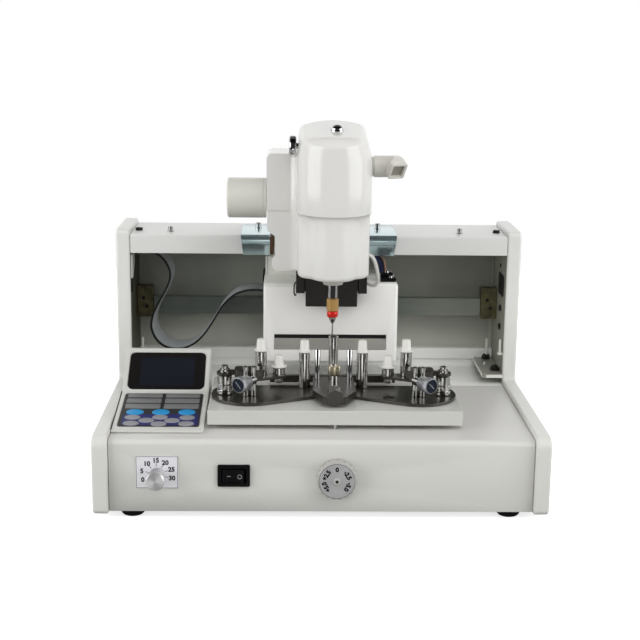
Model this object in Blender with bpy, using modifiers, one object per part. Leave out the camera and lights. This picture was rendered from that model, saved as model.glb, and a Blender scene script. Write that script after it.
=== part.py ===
"""Bench lens drilling machine for rimless spectacle lenses, modelled in metres with +Z up.

X runs to the right as the operator sees it, Y runs to the rear and Z up from the rest plane under
the feet. Distances called "depth" are measured backward from the front edge of the side covers.
"""

import math

import bmesh
import bpy
from mathutils import Matrix, Vector

# Clearances and fine steps
CLEARANCE = 0.0003
OVERRUN = 0.002
WELD_DISTANCE = 0.00001
ARC_STEPS = 4
ROUND_STEPS = 20
FINE_STEPS = 32

# Overall body and the two side covers
OVERALL_WIDTH = 0.300
OVERALL_DEPTH = 0.205
COVER_THICKNESS = 0.0103
COVER_BOTTOM = 0.004
FRONT_COVER_TOP = 0.0575
REAR_COVER_TOP = 0.168
REAR_BAY_DEPTH = 0.060
COVER_NOSE_RADIUS = 0.008
COVER_CORNER_RADIUS = 0.004
COVER_EDGE = 0.0014

# Base housing, floor plate and feet
PANEL_SETBACK = 0.0039
PANEL_GAP = 0.0015
BASE_TOP = 0.0545
BASE_WALL = 0.002
BASE_NOSE_RADIUS = 0.004
SILL_HEIGHT = 0.0145
SILL_DEPTH = 0.007
SILL_UNDERCUT_HEIGHT = 0.006
SILL_UNDERCUT_DEPTH = 0.002
FLOOR_THICKNESS = 0.0012
FOOT_RADIUS = 0.008
FOOT_HEIGHT = 0.0037
FOOT_TAPER = 0.001
FOOT_SIDE_INSET = 0.0155
FOOT_FRONT_DEPTH = 0.0145
FOOT_REAR_DEPTH = 0.189

# Top beam and rear wall
BEAM_TOP = 0.1665
BEAM_FLANGE_HEIGHT = 0.0138
BEAM_SHEET = 0.0015
BEAM_NOSE_RADIUS = 0.0012
REAR_WALL_THICKNESS = 0.0015
VENT_LENGTH = 0.034
VENT_HEIGHT = 0.003
VENT_PITCH = 0.007
VENT_COUNT = 5
VENT_CENTRE_X = 0.045
VENT_CENTRE_Z = 0.030
WIRING_HOLE_INSET = 0.0147
WIRING_HOLE_WIDTH = 0.022
WIRING_HOLE_DEPTH = 0.164
WIRING_HOLE_LENGTH = 0.013

# Zinc plated hooks over the top beam
HOOK_WIDTH = 0.0243
HOOK_SHEET = 0.0015
HOOK_LEFT_X = -0.0457
HOOK_RIGHT_X = 0.0445
HOOK_TAB_LENGTH = 0.019
HOOK_REACH = 0.0035
HOOK_DROP = 0.0145
HOOK_KINK_DROP = 0.0072
HOOK_KINK_REACH = 0.0014
HOOK_LIP_REACH = 0.0042
HOOK_SCREW_RADIUS = 0.0026
HOOK_SCREW_HEIGHT = 0.0026
HOOK_SCREW_BACK = 0.006

# Cross rail with its end brackets
RAIL_BOTTOM = 0.0985
RAIL_HEIGHT = 0.0135
RAIL_THICKNESS = 0.006
RAIL_DEPTH = 0.184
RAIL_BRACKET_WIDTH = 0.0122
RAIL_BRACKET_BOTTOM = 0.096
RAIL_BRACKET_HEIGHT = 0.0245
RAIL_BRACKET_THICKNESS = 0.008
RAIL_BRACKET_HOLE_RADIUS = 0.0013
RAIL_BRACKET_HOLE_RISE = 0.0085
RAIL_BRACKET_HOLE_SPREAD = 0.0065
RAIL_BRACKET_EDGE = 0.0006

# Corner plate with its two bolts
CORNER_PLATE_WIDTH = 0.0122
CORNER_PLATE_FRONT = 0.150
CORNER_PLATE_LENGTH = 0.044
CORNER_PLATE_SHEET = 0.0015
CORNER_PLATE_LIFT = 0.0055
CORNER_PLATE_RADIUS = 0.003
CORNER_BOLT_RADIUS = 0.0036
CORNER_BOLT_HEAD = 0.003
CORNER_BOLT_SHANK = 0.002
CORNER_BOLT_SHARES = (0.23, 0.82)
CORNER_BOLT_OFFSET = 0.0015
CORNER_PIN_RADIUS = 0.0008
CORNER_PIN_HEIGHT = 0.009

# Control panel housing with two facets
CONSOLE_WIDTH = 0.0609
CONSOLE_FRONT_DEPTH = 0.0175
CONSOLE_BEND_DEPTH = 0.080
CONSOLE_BEND_RISE = 0.0107
CONSOLE_CREST_DEPTH = 0.114
CONSOLE_CREST_RISE = 0.0335
CONSOLE_CREST_FLAT = 0.0025
CONSOLE_LIP = 0.0012
CONSOLE_EDGE = 0.0012
DISPLAY_WIDTH = 0.054
DISPLAY_HEIGHT = 0.033
DISPLAY_THICKNESS = 0.0012
DISPLAY_POCKET = 0.0012
DISPLAY_RADIUS = 0.003
KEYPAD_WIDTH = 0.054
KEYPAD_HEIGHT = 0.0525
KEYPAD_THICKNESS = 0.0006
KEYPAD_POCKET = 0.0006
KEYPAD_RADIUS = 0.002
KEYPAD_SHIFT = 0.002

# Speed control on the front panel
SPEED_INSET = 0.0319
SPEED_Z = 0.0312
SCALE_WIDTH = 0.0277
SCALE_HEIGHT = 0.0222
SCALE_THICKNESS = 0.0005
SCALE_RISE = 0.0015
KNOB_RADIUS = 0.0061
KNOB_LENGTH = 0.0145
KNOB_CHAMFER = 0.0006
KNOB_SHAFT_RADIUS = 0.003
KNOB_SHAFT_LENGTH = 0.014
SHAFT_HOLE_CLEARANCE = 0.0005

# Rocker switch on the front panel
SWITCH_INSET = 0.0819
SWITCH_Z = 0.0306
SWITCH_WIDTH = 0.0212
SWITCH_HEIGHT = 0.0149
SWITCH_BEZEL = 0.0016
SWITCH_RIM = 0.0011
SWITCH_BODY_DEPTH = 0.014
SWITCH_CAVITY_DEPTH = 0.009
SWITCH_WALL = 0.0015
SWITCH_CORNER = 0.001
ROCKER_PIVOT_DEPTH = 0.0006
ROCKER_FRONT = 0.0032
ROCKER_HOLLOW = 0.0008
ROCKER_BACK = 0.003
ROCKER_SHOULDER = 0.0015
ROCKER_END_GAP = 0.0008
ROCKER_REST_ANGLE = math.radians(-7)

# Offset dial on the front panel
DIAL_OFFSET = 0.0005
DIAL_Z = 0.0293
DIAL_RADIUS = 0.0129
DIAL_SCALLOP = 0.00025
DIAL_LOBES = 18
DIAL_POINTS_PER_LOBE = 4
DIAL_THICKNESS = 0.007
DIAL_FACE_RADIUS = 0.0118
DIAL_FACE_RISE = 0.0008
DIAL_SCREW_RADIUS = 0.0032
DIAL_SCREW_RISE = 0.0008
DIAL_SHAFT_RADIUS = 0.004
DIAL_SHAFT_LENGTH = 0.016

# Mains inlet in the rear wall
INLET_INSET = 0.0447
INLET_Z = 0.030
INLET_FLANGE_WIDTH = 0.032
INLET_FLANGE_HEIGHT = 0.026
INLET_FLANGE_THICKNESS = 0.0025
INLET_BODY_WIDTH = 0.027
INLET_BODY_HEIGHT = 0.0195
INLET_BODY_DEPTH = 0.018
INLET_WALL = 0.0015
INLET_POCKET_DEPTH = 0.015
INLET_BLADE_WIDTH = 0.002
INLET_BLADE_HEIGHT = 0.004
INLET_BLADE_LENGTH = 0.012
INLET_BLADE_SPREAD = 0.007
INLET_BLADE_RISE = 0.002
INLET_CORNER = 0.002

# Circuit board inside the base
BOARD_WIDTH = 0.110
BOARD_DEPTH = 0.070
BOARD_THICKNESS = 0.0016
BOARD_INSET = 0.0447
BOARD_FRONT_DEPTH = 0.095
BOARD_LIFT = 0.0065
BOARD_POST_RADIUS = 0.0025
BOARD_POST_INSET = 0.005
TRANSFORMER_SIZE = (0.034, 0.028, 0.022)
HEATSINK_SIZE = (0.030, 0.012, 0.020)
CAPACITOR_RADIUS = 0.006
CAPACITOR_HEIGHT = 0.018
BOARD_PART_SHARES = (-0.30, 0.28)

# Cross carriage: column cover, runner, name plate, terminal block and slide guide
SPINDLE_OFFSET = -0.001
COLUMN_HALF_WIDTH = 0.0488
COLUMN_FRONT_DEPTH = 0.118
COLUMN_DEPTH = 0.060
COLUMN_BOTTOM = 0.077
COLUMN_TOP = 0.1362
COLUMN_WALL = 0.002
COLUMN_EDGE = 0.0022
RISER_WIDTH = 0.029
RISER_DEPTH = 0.028
RISER_HEIGHT = 0.0145
NAME_RECESS_WIDTH = 0.0818
NAME_RECESS_BOTTOM = 0.0866
NAME_RECESS_HEIGHT = 0.0115
NAME_RECESS_DEPTH = 0.0012
NAME_PLATE_HEIGHT = 0.0084
NAME_PLATE_THICKNESS = 0.0007
NAME_PLATE_RADIUS = 0.0008
RUNNER_HALF_WIDTH = 0.022
RUNNER_LIP = 0.006
RUNNER_BACK_REACH = 0.0015
TERMINAL_WIDTH = 0.0115
TERMINAL_DEPTH = 0.010
TERMINAL_HEIGHT = 0.0078
TERMINAL_OFFSET = 0.042
TERMINAL_BACK = 0.006
TERMINAL_SCREW_RADIUS = 0.0016
TERMINAL_SCREW_HEIGHT = 0.0012
TERMINAL_SCREW_SPREAD = 0.0028
GUIDE_HALF_WIDTH = 0.0254
GUIDE_CHEEK = 0.0062
GUIDE_BACK = 0.004
GUIDE_DEPTH = 0.0108
GUIDE_BOTTOM = 0.131
GUIDE_TOP = 0.214

# Drilling head: cover, belt housing, side motor and slide plate
SPINDLE_DEPTH = 0.080
HEAD_RADIUS = 0.0258
HEAD_STEP = 0.0009
HEAD_BACK = 0.026
HEAD_BOTTOM = 0.149
HEAD_STEP_Z = 0.1925
HEAD_STEP_RAMP = 0.001
HEAD_CENTRE_TOP = 0.2479
HEAD_TOP_SLOPE_SHARE = 0.18
HEAD_CROWN = 0.0022
HEAD_TOP_ROUND = 0.007
HEAD_BOTTOM_ROUND = 0.004
HEAD_WALL = 0.002
HEAD_CEILING = 0.012
HEAD_NOSE_HOLE_CLEARANCE = 0.0006
HEAD_RING_SHARES = (0.62, 0.36, 0.12)
HEAD_OUTLINE_STEPS = 22
BELT_HOUSING_LEFT = 0.0464
BELT_HOUSING_NOTCH = 0.0404
BELT_HOUSING_BULGE = 0.0425
BELT_HOUSING_FOOT = 0.034
BELT_HOUSING_TOP = 0.232
BELT_HOUSING_SHOULDER = 0.1775
BELT_HOUSING_NOTCH_TOP = 0.1725
BELT_HOUSING_NOTCH_BOTTOM = 0.157
BELT_HOUSING_BULGE_Z = 0.153
BELT_HOUSING_BOTTOM = 0.146
BELT_HOUSING_FRONT_DEPTH = 0.092
BELT_HOUSING_DEPTH = 0.040
BELT_HOUSING_RADIUS = 0.004
BELT_HOUSING_EDGE = 0.002
SIDE_MOTOR_RADIUS = 0.0141
SIDE_MOTOR_LENGTH = 0.0275
SIDE_MOTOR_DEPTH = 0.112
SIDE_MOTOR_Z = 0.1988
SIDE_MOTOR_ROUND = 0.0016
SLIDE_PLATE_HALF_WIDTH = 0.0185
SLIDE_PLATE_THICKNESS = 0.0068
SLIDE_PLATE_BOTTOM = 0.1215
SLIDE_PLATE_TOP = 0.240
SLIDE_PLATE_EDGE = 0.0005

# Small pieces on the head
CAP_NUT_RADIUS = 0.0048
CAP_NUT_FLANGE = 0.0012
CAP_NUT_DOME_RADIUS = 0.0041
CAP_NUT_HEIGHT = 0.0055
CAP_NUT_SEAT_CLEARANCE = 0.0005
SIDE_KNOB_RADIUS = 0.007
SIDE_KNOB_LENGTH = 0.0052
SIDE_KNOB_ROUND = 0.0012
SIDE_KNOB_DEPTH = 0.084
SIDE_KNOB_Z = 0.238
SIDE_KNOB_STEM_RADIUS = 0.002
SIDE_KNOB_STEM_LENGTH = 0.004
LAMP_RADIUS = 0.0074
LAMP_LENGTH = 0.0225
LAMP_ROUND = 0.004
LAMP_DEPTH = 0.088
LAMP_Z = 0.2242
LAMP_STEM_RADIUS = 0.004
LAMP_STEM_LENGTH = 0.0035
LAMP_SPOUT_SIDE = 0.0086
LAMP_SPOUT_REACH = 0.017
LAMP_SPOUT_BACK = 0.0045
LAMP_SPOUT_ANGLE = math.radians(19)
LAMP_MOUTH_WALL = 0.001
LAMP_MOUTH_DEPTH = 0.003

# Head cable between the head and the slide guide: offsets across, depths and heights by hand
HEAD_CABLE_RADIUS = 0.0013
HEAD_CABLE_ROUTE = (
    (0.0252, 0.0980, 0.1660),
    (0.0282, 0.0982, 0.1652),
    (0.0318, 0.0990, 0.1610),
    (0.0334, 0.1005, 0.1530),
    (0.0330, 0.1030, 0.1465),
    (0.0310, 0.1070, 0.1425),
    (0.0288, 0.1105, 0.1408),
    (0.0258, 0.1105, 0.1408),
)

# Spindle motor, spindle shaft, collet nut and drill bit
MOTOR_RADIUS = 0.020
MOTOR_BOTTOM = 0.158
MOTOR_TOP = 0.228
MOTOR_NOSE_RADIUS = 0.0070
MOTOR_NOSE_BOTTOM = 0.1455
MOTOR_BORE_CLEARANCE = 0.00035
MOTOR_SADDLE_HALF_WIDTH = 0.014
MOTOR_SADDLE_BOTTOM = 0.172
MOTOR_SADDLE_TOP = 0.218
SHAFT_RADIUS = 0.00325
SHAFT_TOP = 0.155
SHAFT_BOTTOM = 0.1334
COLLET_RADIUS = 0.0042
COLLET_LENGTH = 0.0084
COLLET_SIDES = 6
BIT_SHANK_RADIUS = 0.0016
BIT_SHANK_LENGTH = 0.0065
BIT_RING_RADIUS = 0.0039
BIT_RING_HEIGHT = 0.0044
BIT_RING_ROUND = 0.0011
BIT_CONE_LENGTH = 0.0048
BIT_RADIUS = 0.00055
BIT_LENGTH = 0.008

# Table and the lens fixture on it
TABLE_CONSOLE_GAP = 0.0022
TABLE_HALF_WIDTH = 0.0853
TABLE_FRONT_DEPTH = 0.0265
TABLE_DEPTH = 0.0855
TABLE_THICKNESS = 0.0091
TABLE_LIFT = 0.0039
TABLE_EDGE = 0.0012
TABLE_SHOE_HALF_WIDTH = 0.020
TABLE_SHOE_FRONT_DEPTH = 0.050
TABLE_SHOE_DEPTH = 0.040
TABLE_PIN_RADIUS = 0.001
TABLE_PIN_INSET = 0.0025
WING_THICKNESS = 0.0022
WING_INNER = 0.0136
WING_NECK_FRONT_DEPTH = 0.0545
WING_BACK_DEPTH = 0.0818
WING_LOBE_OFFSET = 0.0585
WING_LOBE_DEPTH = 0.062
WING_LOBE_RADIUS = 0.026
WING_BACK_RADIUS = 0.016
WING_HOLE_OFFSET = 0.0375
WING_HOLE_DEPTH = 0.0517
WING_HOLE_RADIUS = 0.004
WING_ARC_STEPS = 14
BLOCK_THICKNESS = 0.0052
BLOCK_FRONT_DEPTH = 0.033
BLOCK_FRONT_HALF_WIDTH = 0.0075
BLOCK_WIDE_DEPTH = 0.050
BLOCK_HALF_WIDTH = 0.0149
BLOCK_BACK_DEPTH = 0.0845
BLOCK_BACK_HALF_WIDTH = 0.0140
BLOCK_CHAMFER = 0.0005
BOSS_RADIUS = 0.0056
BOSS_LENGTH = 0.014
BOSS_OVERHANG = 0.001
BOSS_SIDES = 8
BOSS_RISE = 0.0042
SPINE_HALF_WIDTH = 0.008
CROSSBAR_HALF_WIDTH = 0.0445
CROSSBAR_DEPTH = 0.088
CROSSBAR_THICKNESS = 0.005
SIDE_ROD_RADIUS = 0.00205
SIDE_ROD_OFFSET = 0.0112
SIDE_ROD_DEPTH = 0.075
SIDE_ROD_TOP = 0.0982
CENTRE_POST_RADIUS = 0.0035
CENTRE_POST_BORE = 0.0024
CENTRE_POST_BORE_DEPTH = 0.012
CENTRE_POST_TOP = 0.1062
CENTRE_POST_CHAMFER = 0.0004
THUMB_SCREW_DEPTH = 0.0545
THUMB_SCREW_RADIUS = 0.0037
THUMB_SCREW_STEM_RADIUS = 0.0026
THUMB_SCREW_STEM_TOP = 0.085
THUMB_SCREW_TOP = 0.0918
THUMB_SCREW_CHAMFER = 0.0006

# Lens support posts with their tapered caps
POST_RADIUS = 0.0040
POST_FLANGE_RADIUS = 0.0048
POST_FLANGE = 0.0011
POST_CAP_RADIUS = 0.0035
POST_CAP_TIP_RADIUS = 0.0031
POST_CAP_HEIGHT = 0.0088
POST_CAP_ROUND = 0.0008
INNER_POST_OFFSET = 0.0202
INNER_POST_DEPTH = 0.0768
INNER_POST_SHOULDER = 0.0955
OUTER_POST_OFFSET = 0.0504
OUTER_POST_DEPTH = 0.0715
OUTER_POST_SHOULDER = 0.0975
SHORT_POST_OFFSET = 0.038
SHORT_POST_DEPTH = 0.072
SHORT_POST_RADIUS = 0.0044
SHORT_POST_FLANGE_RADIUS = 0.0053
SHORT_POST_SHOULDER = 0.0858
SHORT_POST_NUT_RADIUS = 0.003
SHORT_POST_NUT_DROP = 0.0036

# Swing arms, clamp blocks and micrometer thimbles
ARM_PIVOT_OFFSET = 0.059
ARM_PIVOT_DEPTH = 0.063
ARM_BOTTOM = 0.0785
ARM_THICKNESS = 0.002
ARM_ROUND = 0.0050
ARM_BORE = 0.0024
PIVOT_PIN_RADIUS = 0.002
PIVOT_FOOT_RADIUS = 0.004
CLAMP_BRACKET_INNER = 0.054
CLAMP_BRACKET_WIDTH = 0.008
CLAMP_BRACKET_DEPTH = 0.0545
CLAMP_BRACKET_THICKNESS = 0.003
CLAMP_BRACKET_TOP = 0.086
CLAMP_PIN_RADIUS = 0.0019
CLAMP_PIN_SHARES = (0.15, 0.82)
CLAMP_PIN_TOP = 0.0908
LEVER_INNER = 0.0552
LEVER_WIDTH = 0.0133
LEVER_FRONT_DEPTH = 0.054
LEVER_DEPTH = 0.0125
LEVER_BOTTOM = 0.084
LEVER_THICKNESS = 0.0065
STACK_OFFSET = 0.0751
STACK_DEPTH = 0.060
STACK_LINK_BOTTOM = 0.0845
STACK_LINK_THICKNESS = 0.003
STACK_LINK_HALF_WIDTH = 0.0025
STACK_HEIGHT = 0.020
STACK_TIP_RADIUS = 0.0026
STACK_NECK_RADIUS = 0.0038
STACK_RING_RADIUS = 0.0056
STACK_RING_SHARES = ((0.00, 0.09), (0.25, 0.42), (0.53, 0.63), (0.74, 0.88))
THIMBLE_OFFSET = 0.0655
THIMBLE_DEPTH = 0.040
THIMBLE_Z = 0.0812
THIMBLE_ANGLE = math.radians(35)
THIMBLE_REACH = 0.016
THIMBLE_RADIUS = 0.0046
THIMBLE_KNOB_RADIUS = 0.0040
THIMBLE_KNOB_LENGTH = 0.0035
THIMBLE_LENGTH = 0.011
THIMBLE_CHAMFER = 0.0006
THIMBLE_BORE = 0.0034
THIMBLE_BORE_DEPTH = 0.009
BARREL_RADIUS = 0.0030
BARREL_TAIL = 0.002

# Ribbon cable from the beam to the column, as distances from the left cover's inner face and
# heights chosen by hand
RIBBON_THICKNESS = 0.0009
RIBBON_WIDTH = 0.024
RIBBON_FRONT_DEPTH = 0.1575
RIBBON_POINTS_PER_SPAN = 2
RIBBON_ROUTE = (
    (0.0112, 0.1515),
    (0.0186, 0.1499),
    (0.0239, 0.1451),
    (0.0272, 0.1391),
    (0.0281, 0.1336),
    (0.0270, 0.1281),
    (0.0236, 0.1206),
    (0.0194, 0.1130),
    (0.0153, 0.1047),
    (0.0134, 0.0970),
    (0.0137, 0.0915),
    (0.0163, 0.0852),
    (0.0203, 0.0807),
    (0.0250, 0.0780),
    (0.0325, 0.0768),
    (0.0399, 0.0781),
    (0.0473, 0.0823),
    (0.0542, 0.0897),
    (0.0610, 0.1001),
    (0.0664, 0.1092),
    (0.0719, 0.1154),
    (0.0786, 0.1203),
    (0.0880, 0.1227),
    (0.0985, 0.1225),
)

# Finishes: base colour, roughness and metallic value
WHITE_PAINT = ((0.86, 0.86, 0.84), 0.35, 0.0)
WHITE_PLASTIC = ((0.88, 0.88, 0.86), 0.28, 0.0)
BLACK_PLASTIC = ((0.02, 0.02, 0.022), 0.40, 0.0)
BLACK_METAL = ((0.035, 0.034, 0.034), 0.38, 0.7)
BLACK_RUBBER = ((0.015, 0.015, 0.015), 0.80, 0.0)
CHROME = ((0.80, 0.80, 0.80), 0.12, 1.0)
ZINC = ((0.62, 0.68, 0.70), 0.30, 1.0)
YELLOW_ZINC = ((0.42, 0.36, 0.22), 0.45, 1.0)
STEEL = ((0.56, 0.57, 0.57), 0.35, 1.0)
ALUMINIUM = ((0.75, 0.75, 0.76), 0.30, 1.0)
BRASS = ((0.65, 0.45, 0.20), 0.30, 1.0)
DARK_GLASS = ((0.01, 0.01, 0.012), 0.08, 0.0)
KEY_SHEET = ((0.05, 0.06, 0.12), 0.45, 0.0)
BOARD_GREEN = ((0.04, 0.20, 0.10), 0.50, 0.0)
GREY_CABLE = ((0.30, 0.31, 0.32), 0.50, 0.0)
WHITE_CABLE = ((0.75, 0.75, 0.73), 0.45, 0.0)

# Levels and planes worked out from the sizes above
PLATE_FRONT_STANDOFF = CLEARANCE + SCALE_THICKNESS + CLEARANCE
KNOB_REACH = KNOB_LENGTH + PLATE_FRONT_STANDOFF - PANEL_SETBACK
REAR_REACH = INLET_FLANGE_THICKNESS + CLEARANCE
FRONT_Y = -(OVERALL_DEPTH + REAR_REACH - KNOB_REACH) / 2
HALF_WIDTH = OVERALL_WIDTH / 2
INNER_HALF_WIDTH = HALF_WIDTH - COVER_THICKNESS
FITTED_HALF_WIDTH = INNER_HALF_WIDTH - CLEARANCE
BAY_FRONT = OVERALL_DEPTH - REAR_BAY_DEPTH
WALL_FRONT = OVERALL_DEPTH - REAR_WALL_THICKNESS
BASE_BOTTOM = COVER_BOTTOM + PANEL_GAP
BASE_BACK = WALL_FRONT - CLEARANCE
SILL_TOP = BASE_TOP + SILL_HEIGHT
TABLE_BOTTOM = BASE_TOP + TABLE_LIFT
TABLE_TOP = TABLE_BOTTOM + TABLE_THICKNESS
WING_BOTTOM = TABLE_TOP + CLEARANCE
WING_TOP = WING_BOTTOM + WING_THICKNESS
BLOCK_BOTTOM = WING_TOP + CLEARANCE
BLOCK_TOP = BLOCK_BOTTOM + BLOCK_THICKNESS
ARM_TOP = ARM_BOTTOM + ARM_THICKNESS
COLUMN_BACK_DEPTH = COLUMN_FRONT_DEPTH + COLUMN_DEPTH
GUIDE_BACK_DEPTH = COLUMN_FRONT_DEPTH - CLEARANCE
HEAD_BACK_DEPTH = SPINDLE_DEPTH + HEAD_BACK
CONSOLE_LEFT = -FITTED_HALF_WIDTH
TABLE_X = CONSOLE_LEFT + CONSOLE_WIDTH + TABLE_CONSOLE_GAP + TABLE_HALF_WIDTH
CARRIAGE_X = TABLE_X + SPINDLE_OFFSET
DIAL_X = TABLE_X + DIAL_OFFSET
SPEED_X = -INNER_HALF_WIDTH + SPEED_INSET
SWITCH_X = -INNER_HALF_WIDTH + SWITCH_INSET
INLET_X = -INNER_HALF_WIDTH + INLET_INSET
BOARD_X = -INNER_HALF_WIDTH + BOARD_INSET + BOARD_WIDTH / 2
COLLET_TOP = SHAFT_BOTTOM - CLEARANCE
COLLET_BOTTOM = COLLET_TOP - COLLET_LENGTH
BIT_RING_TOP = COLLET_BOTTOM - CLEARANCE

# Turns that bring a flat outline or a turned piece into place
FLAT = (0, 0, 0)
FACING_FRONT = (math.pi / 2, 0, 0)
ALONG_X = (math.pi / 2, 0, math.pi / 2)
POINTING_LEFT = (0, -math.pi / 2, 0)
POINTING_RIGHT = (0, math.pi / 2, 0)


def deep(depth):
    """World Y of a plane that lies the given depth behind the covers' front edge."""
    return FRONT_Y + depth


def clear_scene():
    for item in list(bpy.data.objects):
        bpy.data.objects.remove(item)


def new_collection(name):
    group = bpy.data.collections.new(name)
    bpy.context.scene.collection.children.link(group)
    return group


def make_object(name, mesh, location=FLAT, rotation=FLAT):
    item = bpy.data.objects.new(name, mesh)
    item.location = location
    item.rotation_euler = rotation
    PARTS.objects.link(item)
    return item


def finish(item, look, parent=None, smooth=False):
    """Gives an object its own material and hangs it on the empty of its joint."""
    colour, roughness, metallic = look
    material = bpy.data.materials.new(item.name)
    material.use_nodes = True
    shader = material.node_tree.nodes["Principled BSDF"]
    shader.inputs["Base Color"].default_value = (*colour, 1.0)
    shader.inputs["Roughness"].default_value = roughness
    shader.inputs["Metallic"].default_value = metallic
    item.data.materials.append(material)
    if smooth:
        item.data.shade_smooth()
        item.data.set_sharp_from_angle(angle=math.radians(35))
    if parent is not None:
        bpy.context.view_layer.update()
        item.parent = parent
        item.matrix_parent_inverse = parent.matrix_world.inverted()
    return item


def joint_empty(name, location, rotation=FLAT, parent=None):
    empty = bpy.data.objects.new(name, None)
    empty.location = location
    empty.rotation_euler = rotation
    empty.empty_display_size = COVER_THICKNESS
    PARTS.objects.link(empty)
    if parent is not None:
        bpy.context.view_layer.update()
        empty.parent = parent
        empty.matrix_parent_inverse = parent.matrix_world.inverted()
    return empty


def box(name, low, high, edge=0, segments=2):
    """Axis-aligned box between two corners, with rounded edges where edge is given."""
    low = Vector(low)
    high = Vector(high)
    mesh = bpy.data.meshes.new(name)
    shape = bmesh.new()
    bmesh.ops.create_cube(shape, size=1, matrix=Matrix.Diagonal((*(high - low), 1)))
    shape.to_mesh(mesh)
    shape.free()
    item = make_object(name, mesh, (low + high) / 2)
    if edge:
        round_edges(item, edge, segments)
    return item


def cylinder(name, radius, start, end, sides=ROUND_STEPS):
    """Cylinder or regular prism between two points."""
    start = Vector(start)
    end = Vector(end)
    span = end - start
    mesh = bpy.data.meshes.new(name)
    shape = bmesh.new()
    bmesh.ops.create_cone(shape, cap_ends=True, segments=sides, radius1=radius, radius2=radius,
                          depth=span.length)
    shape.to_mesh(mesh)
    shape.free()
    turn = span.to_track_quat("Z", "Y").to_euler()
    return make_object(name, mesh, (start + end) / 2, turn)


def turned(name, profile, location, rotation=FLAT, steps=ROUND_STEPS):
    """Piece turned about its local Z axis; the profile runs down its outer side."""
    mesh = bpy.data.meshes.new(name)
    shape = bmesh.new()
    corners = [shape.verts.new((radius, 0, height)) for radius, height in profile]
    for first, second in zip(corners, corners[1:]):
        shape.edges.new((first, second))
    shape.to_mesh(mesh)
    shape.free()
    item = make_object(name, mesh, location, rotation)
    screw = item.modifiers.new("turn", "SCREW")
    screw.axis = "Z"
    screw.steps = steps
    screw.render_steps = steps
    screw.use_merge_vertices = True
    screw.merge_threshold = WELD_DISTANCE
    return item


def plate(name, outlines, thickness, location=FLAT, rotation=FLAT):
    """Flat outline, with any holes as further outlines, thickened to both sides."""
    curve = bpy.data.curves.new(name, "CURVE")
    curve.dimensions = "2D"
    curve.fill_mode = "BOTH"
    curve.extrude = thickness / 2
    for outline in outlines:
        spline = curve.splines.new("POLY")
        spline.points.add(len(outline) - 1)
        for point, (across, up) in zip(spline.points, outline):
            point.co = (across, up, 0, 1)
        spline.use_cyclic_u = True
    return curve_to_mesh(name, curve, location, rotation)


def tube(name, points, radius, resolution=2):
    """Round cord along a smooth route through world points, with closed ends."""
    curve = bpy.data.curves.new(name, "CURVE")
    curve.dimensions = "3D"
    curve.bevel_depth = radius
    curve.bevel_resolution = resolution
    curve.use_fill_caps = True
    spline = curve.splines.new("POLY")
    spline.points.add(len(points) - 1)
    for point, place in zip(spline.points, points):
        point.co = (*place, 1)
    return curve_to_mesh(name, curve, FLAT, FLAT)


def curve_to_mesh(name, curve, location, rotation):
    guide = make_object(name + "_curve", curve, location, rotation)
    graph = bpy.context.evaluated_depsgraph_get()
    mesh = bpy.data.meshes.new_from_object(guide.evaluated_get(graph))
    mesh.name = name
    shape = bmesh.new()
    shape.from_mesh(mesh)
    bmesh.ops.remove_doubles(shape, verts=shape.verts, dist=WELD_DISTANCE)
    bmesh.ops.dissolve_limit(shape, angle_limit=math.radians(0.5), verts=shape.verts,
                             edges=shape.edges)
    bmesh.ops.recalc_face_normals(shape, faces=shape.faces)
    shape.to_mesh(mesh)
    shape.free()
    item = make_object(name, mesh)
    item.matrix_world = guide.matrix_world
    bpy.data.objects.remove(guide)
    return item


def round_edges(item, width, segments=2, angle=math.radians(40)):
    bevel = item.modifiers.new("rounded edges", "BEVEL")
    bevel.width = width
    bevel.segments = segments
    bevel.limit_method = "ANGLE"
    bevel.angle_limit = angle
    return item


def combine(item, tool, operation):
    boolean = item.modifiers.new(tool.name, "BOOLEAN")
    boolean.operation = operation
    boolean.object = tool
    PARTS.objects.unlink(tool)
    CUTTERS.objects.link(tool)
    tool.hide_render = True
    tool.display_type = "WIRE"
    return item


def cut(item, tool):
    return combine(item, tool, "DIFFERENCE")


def fuse(item, tool):
    return combine(item, tool, "UNION")


def rectangle(width, height):
    return [(-width / 2, -height / 2), (width / 2, -height / 2), (width / 2, height / 2),
            (-width / 2, height / 2)]


def circle(radius, centre=(0, 0), steps=ROUND_STEPS):
    turns = [2 * math.pi * step / steps for step in range(steps)]
    return [(centre[0] + radius * math.cos(turn), centre[1] + radius * math.sin(turn))
            for turn in turns]


def rounded(corners, radii, steps=ARC_STEPS):
    """Outline through the corners, each replaced by an arc of its radius."""
    points = []
    count = len(corners)
    for index, radius in enumerate(radii):
        corner = Vector(corners[index])
        before = (Vector(corners[index - 1]) - corner).normalized()
        after = (Vector(corners[(index + 1) % count]) - corner).normalized()
        if not radius:
            points.append(tuple(corner))
            continue
        half = before.angle(after) / 2
        centre = corner + (before + after).normalized() * (radius / math.sin(half))
        start = corner + before * (radius / math.tan(half)) - centre
        sweep = math.copysign(math.pi - 2 * half, before.cross(after))
        for step in range(steps + 1):
            arm = start.copy()
            arm.rotate(Matrix.Rotation(-sweep * step / steps, 2))
            points.append(tuple(centre + arm))
    return points


def rounded_rectangle(width, height, radius):
    return rounded(rectangle(width, height), [radius] * 4)


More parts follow.
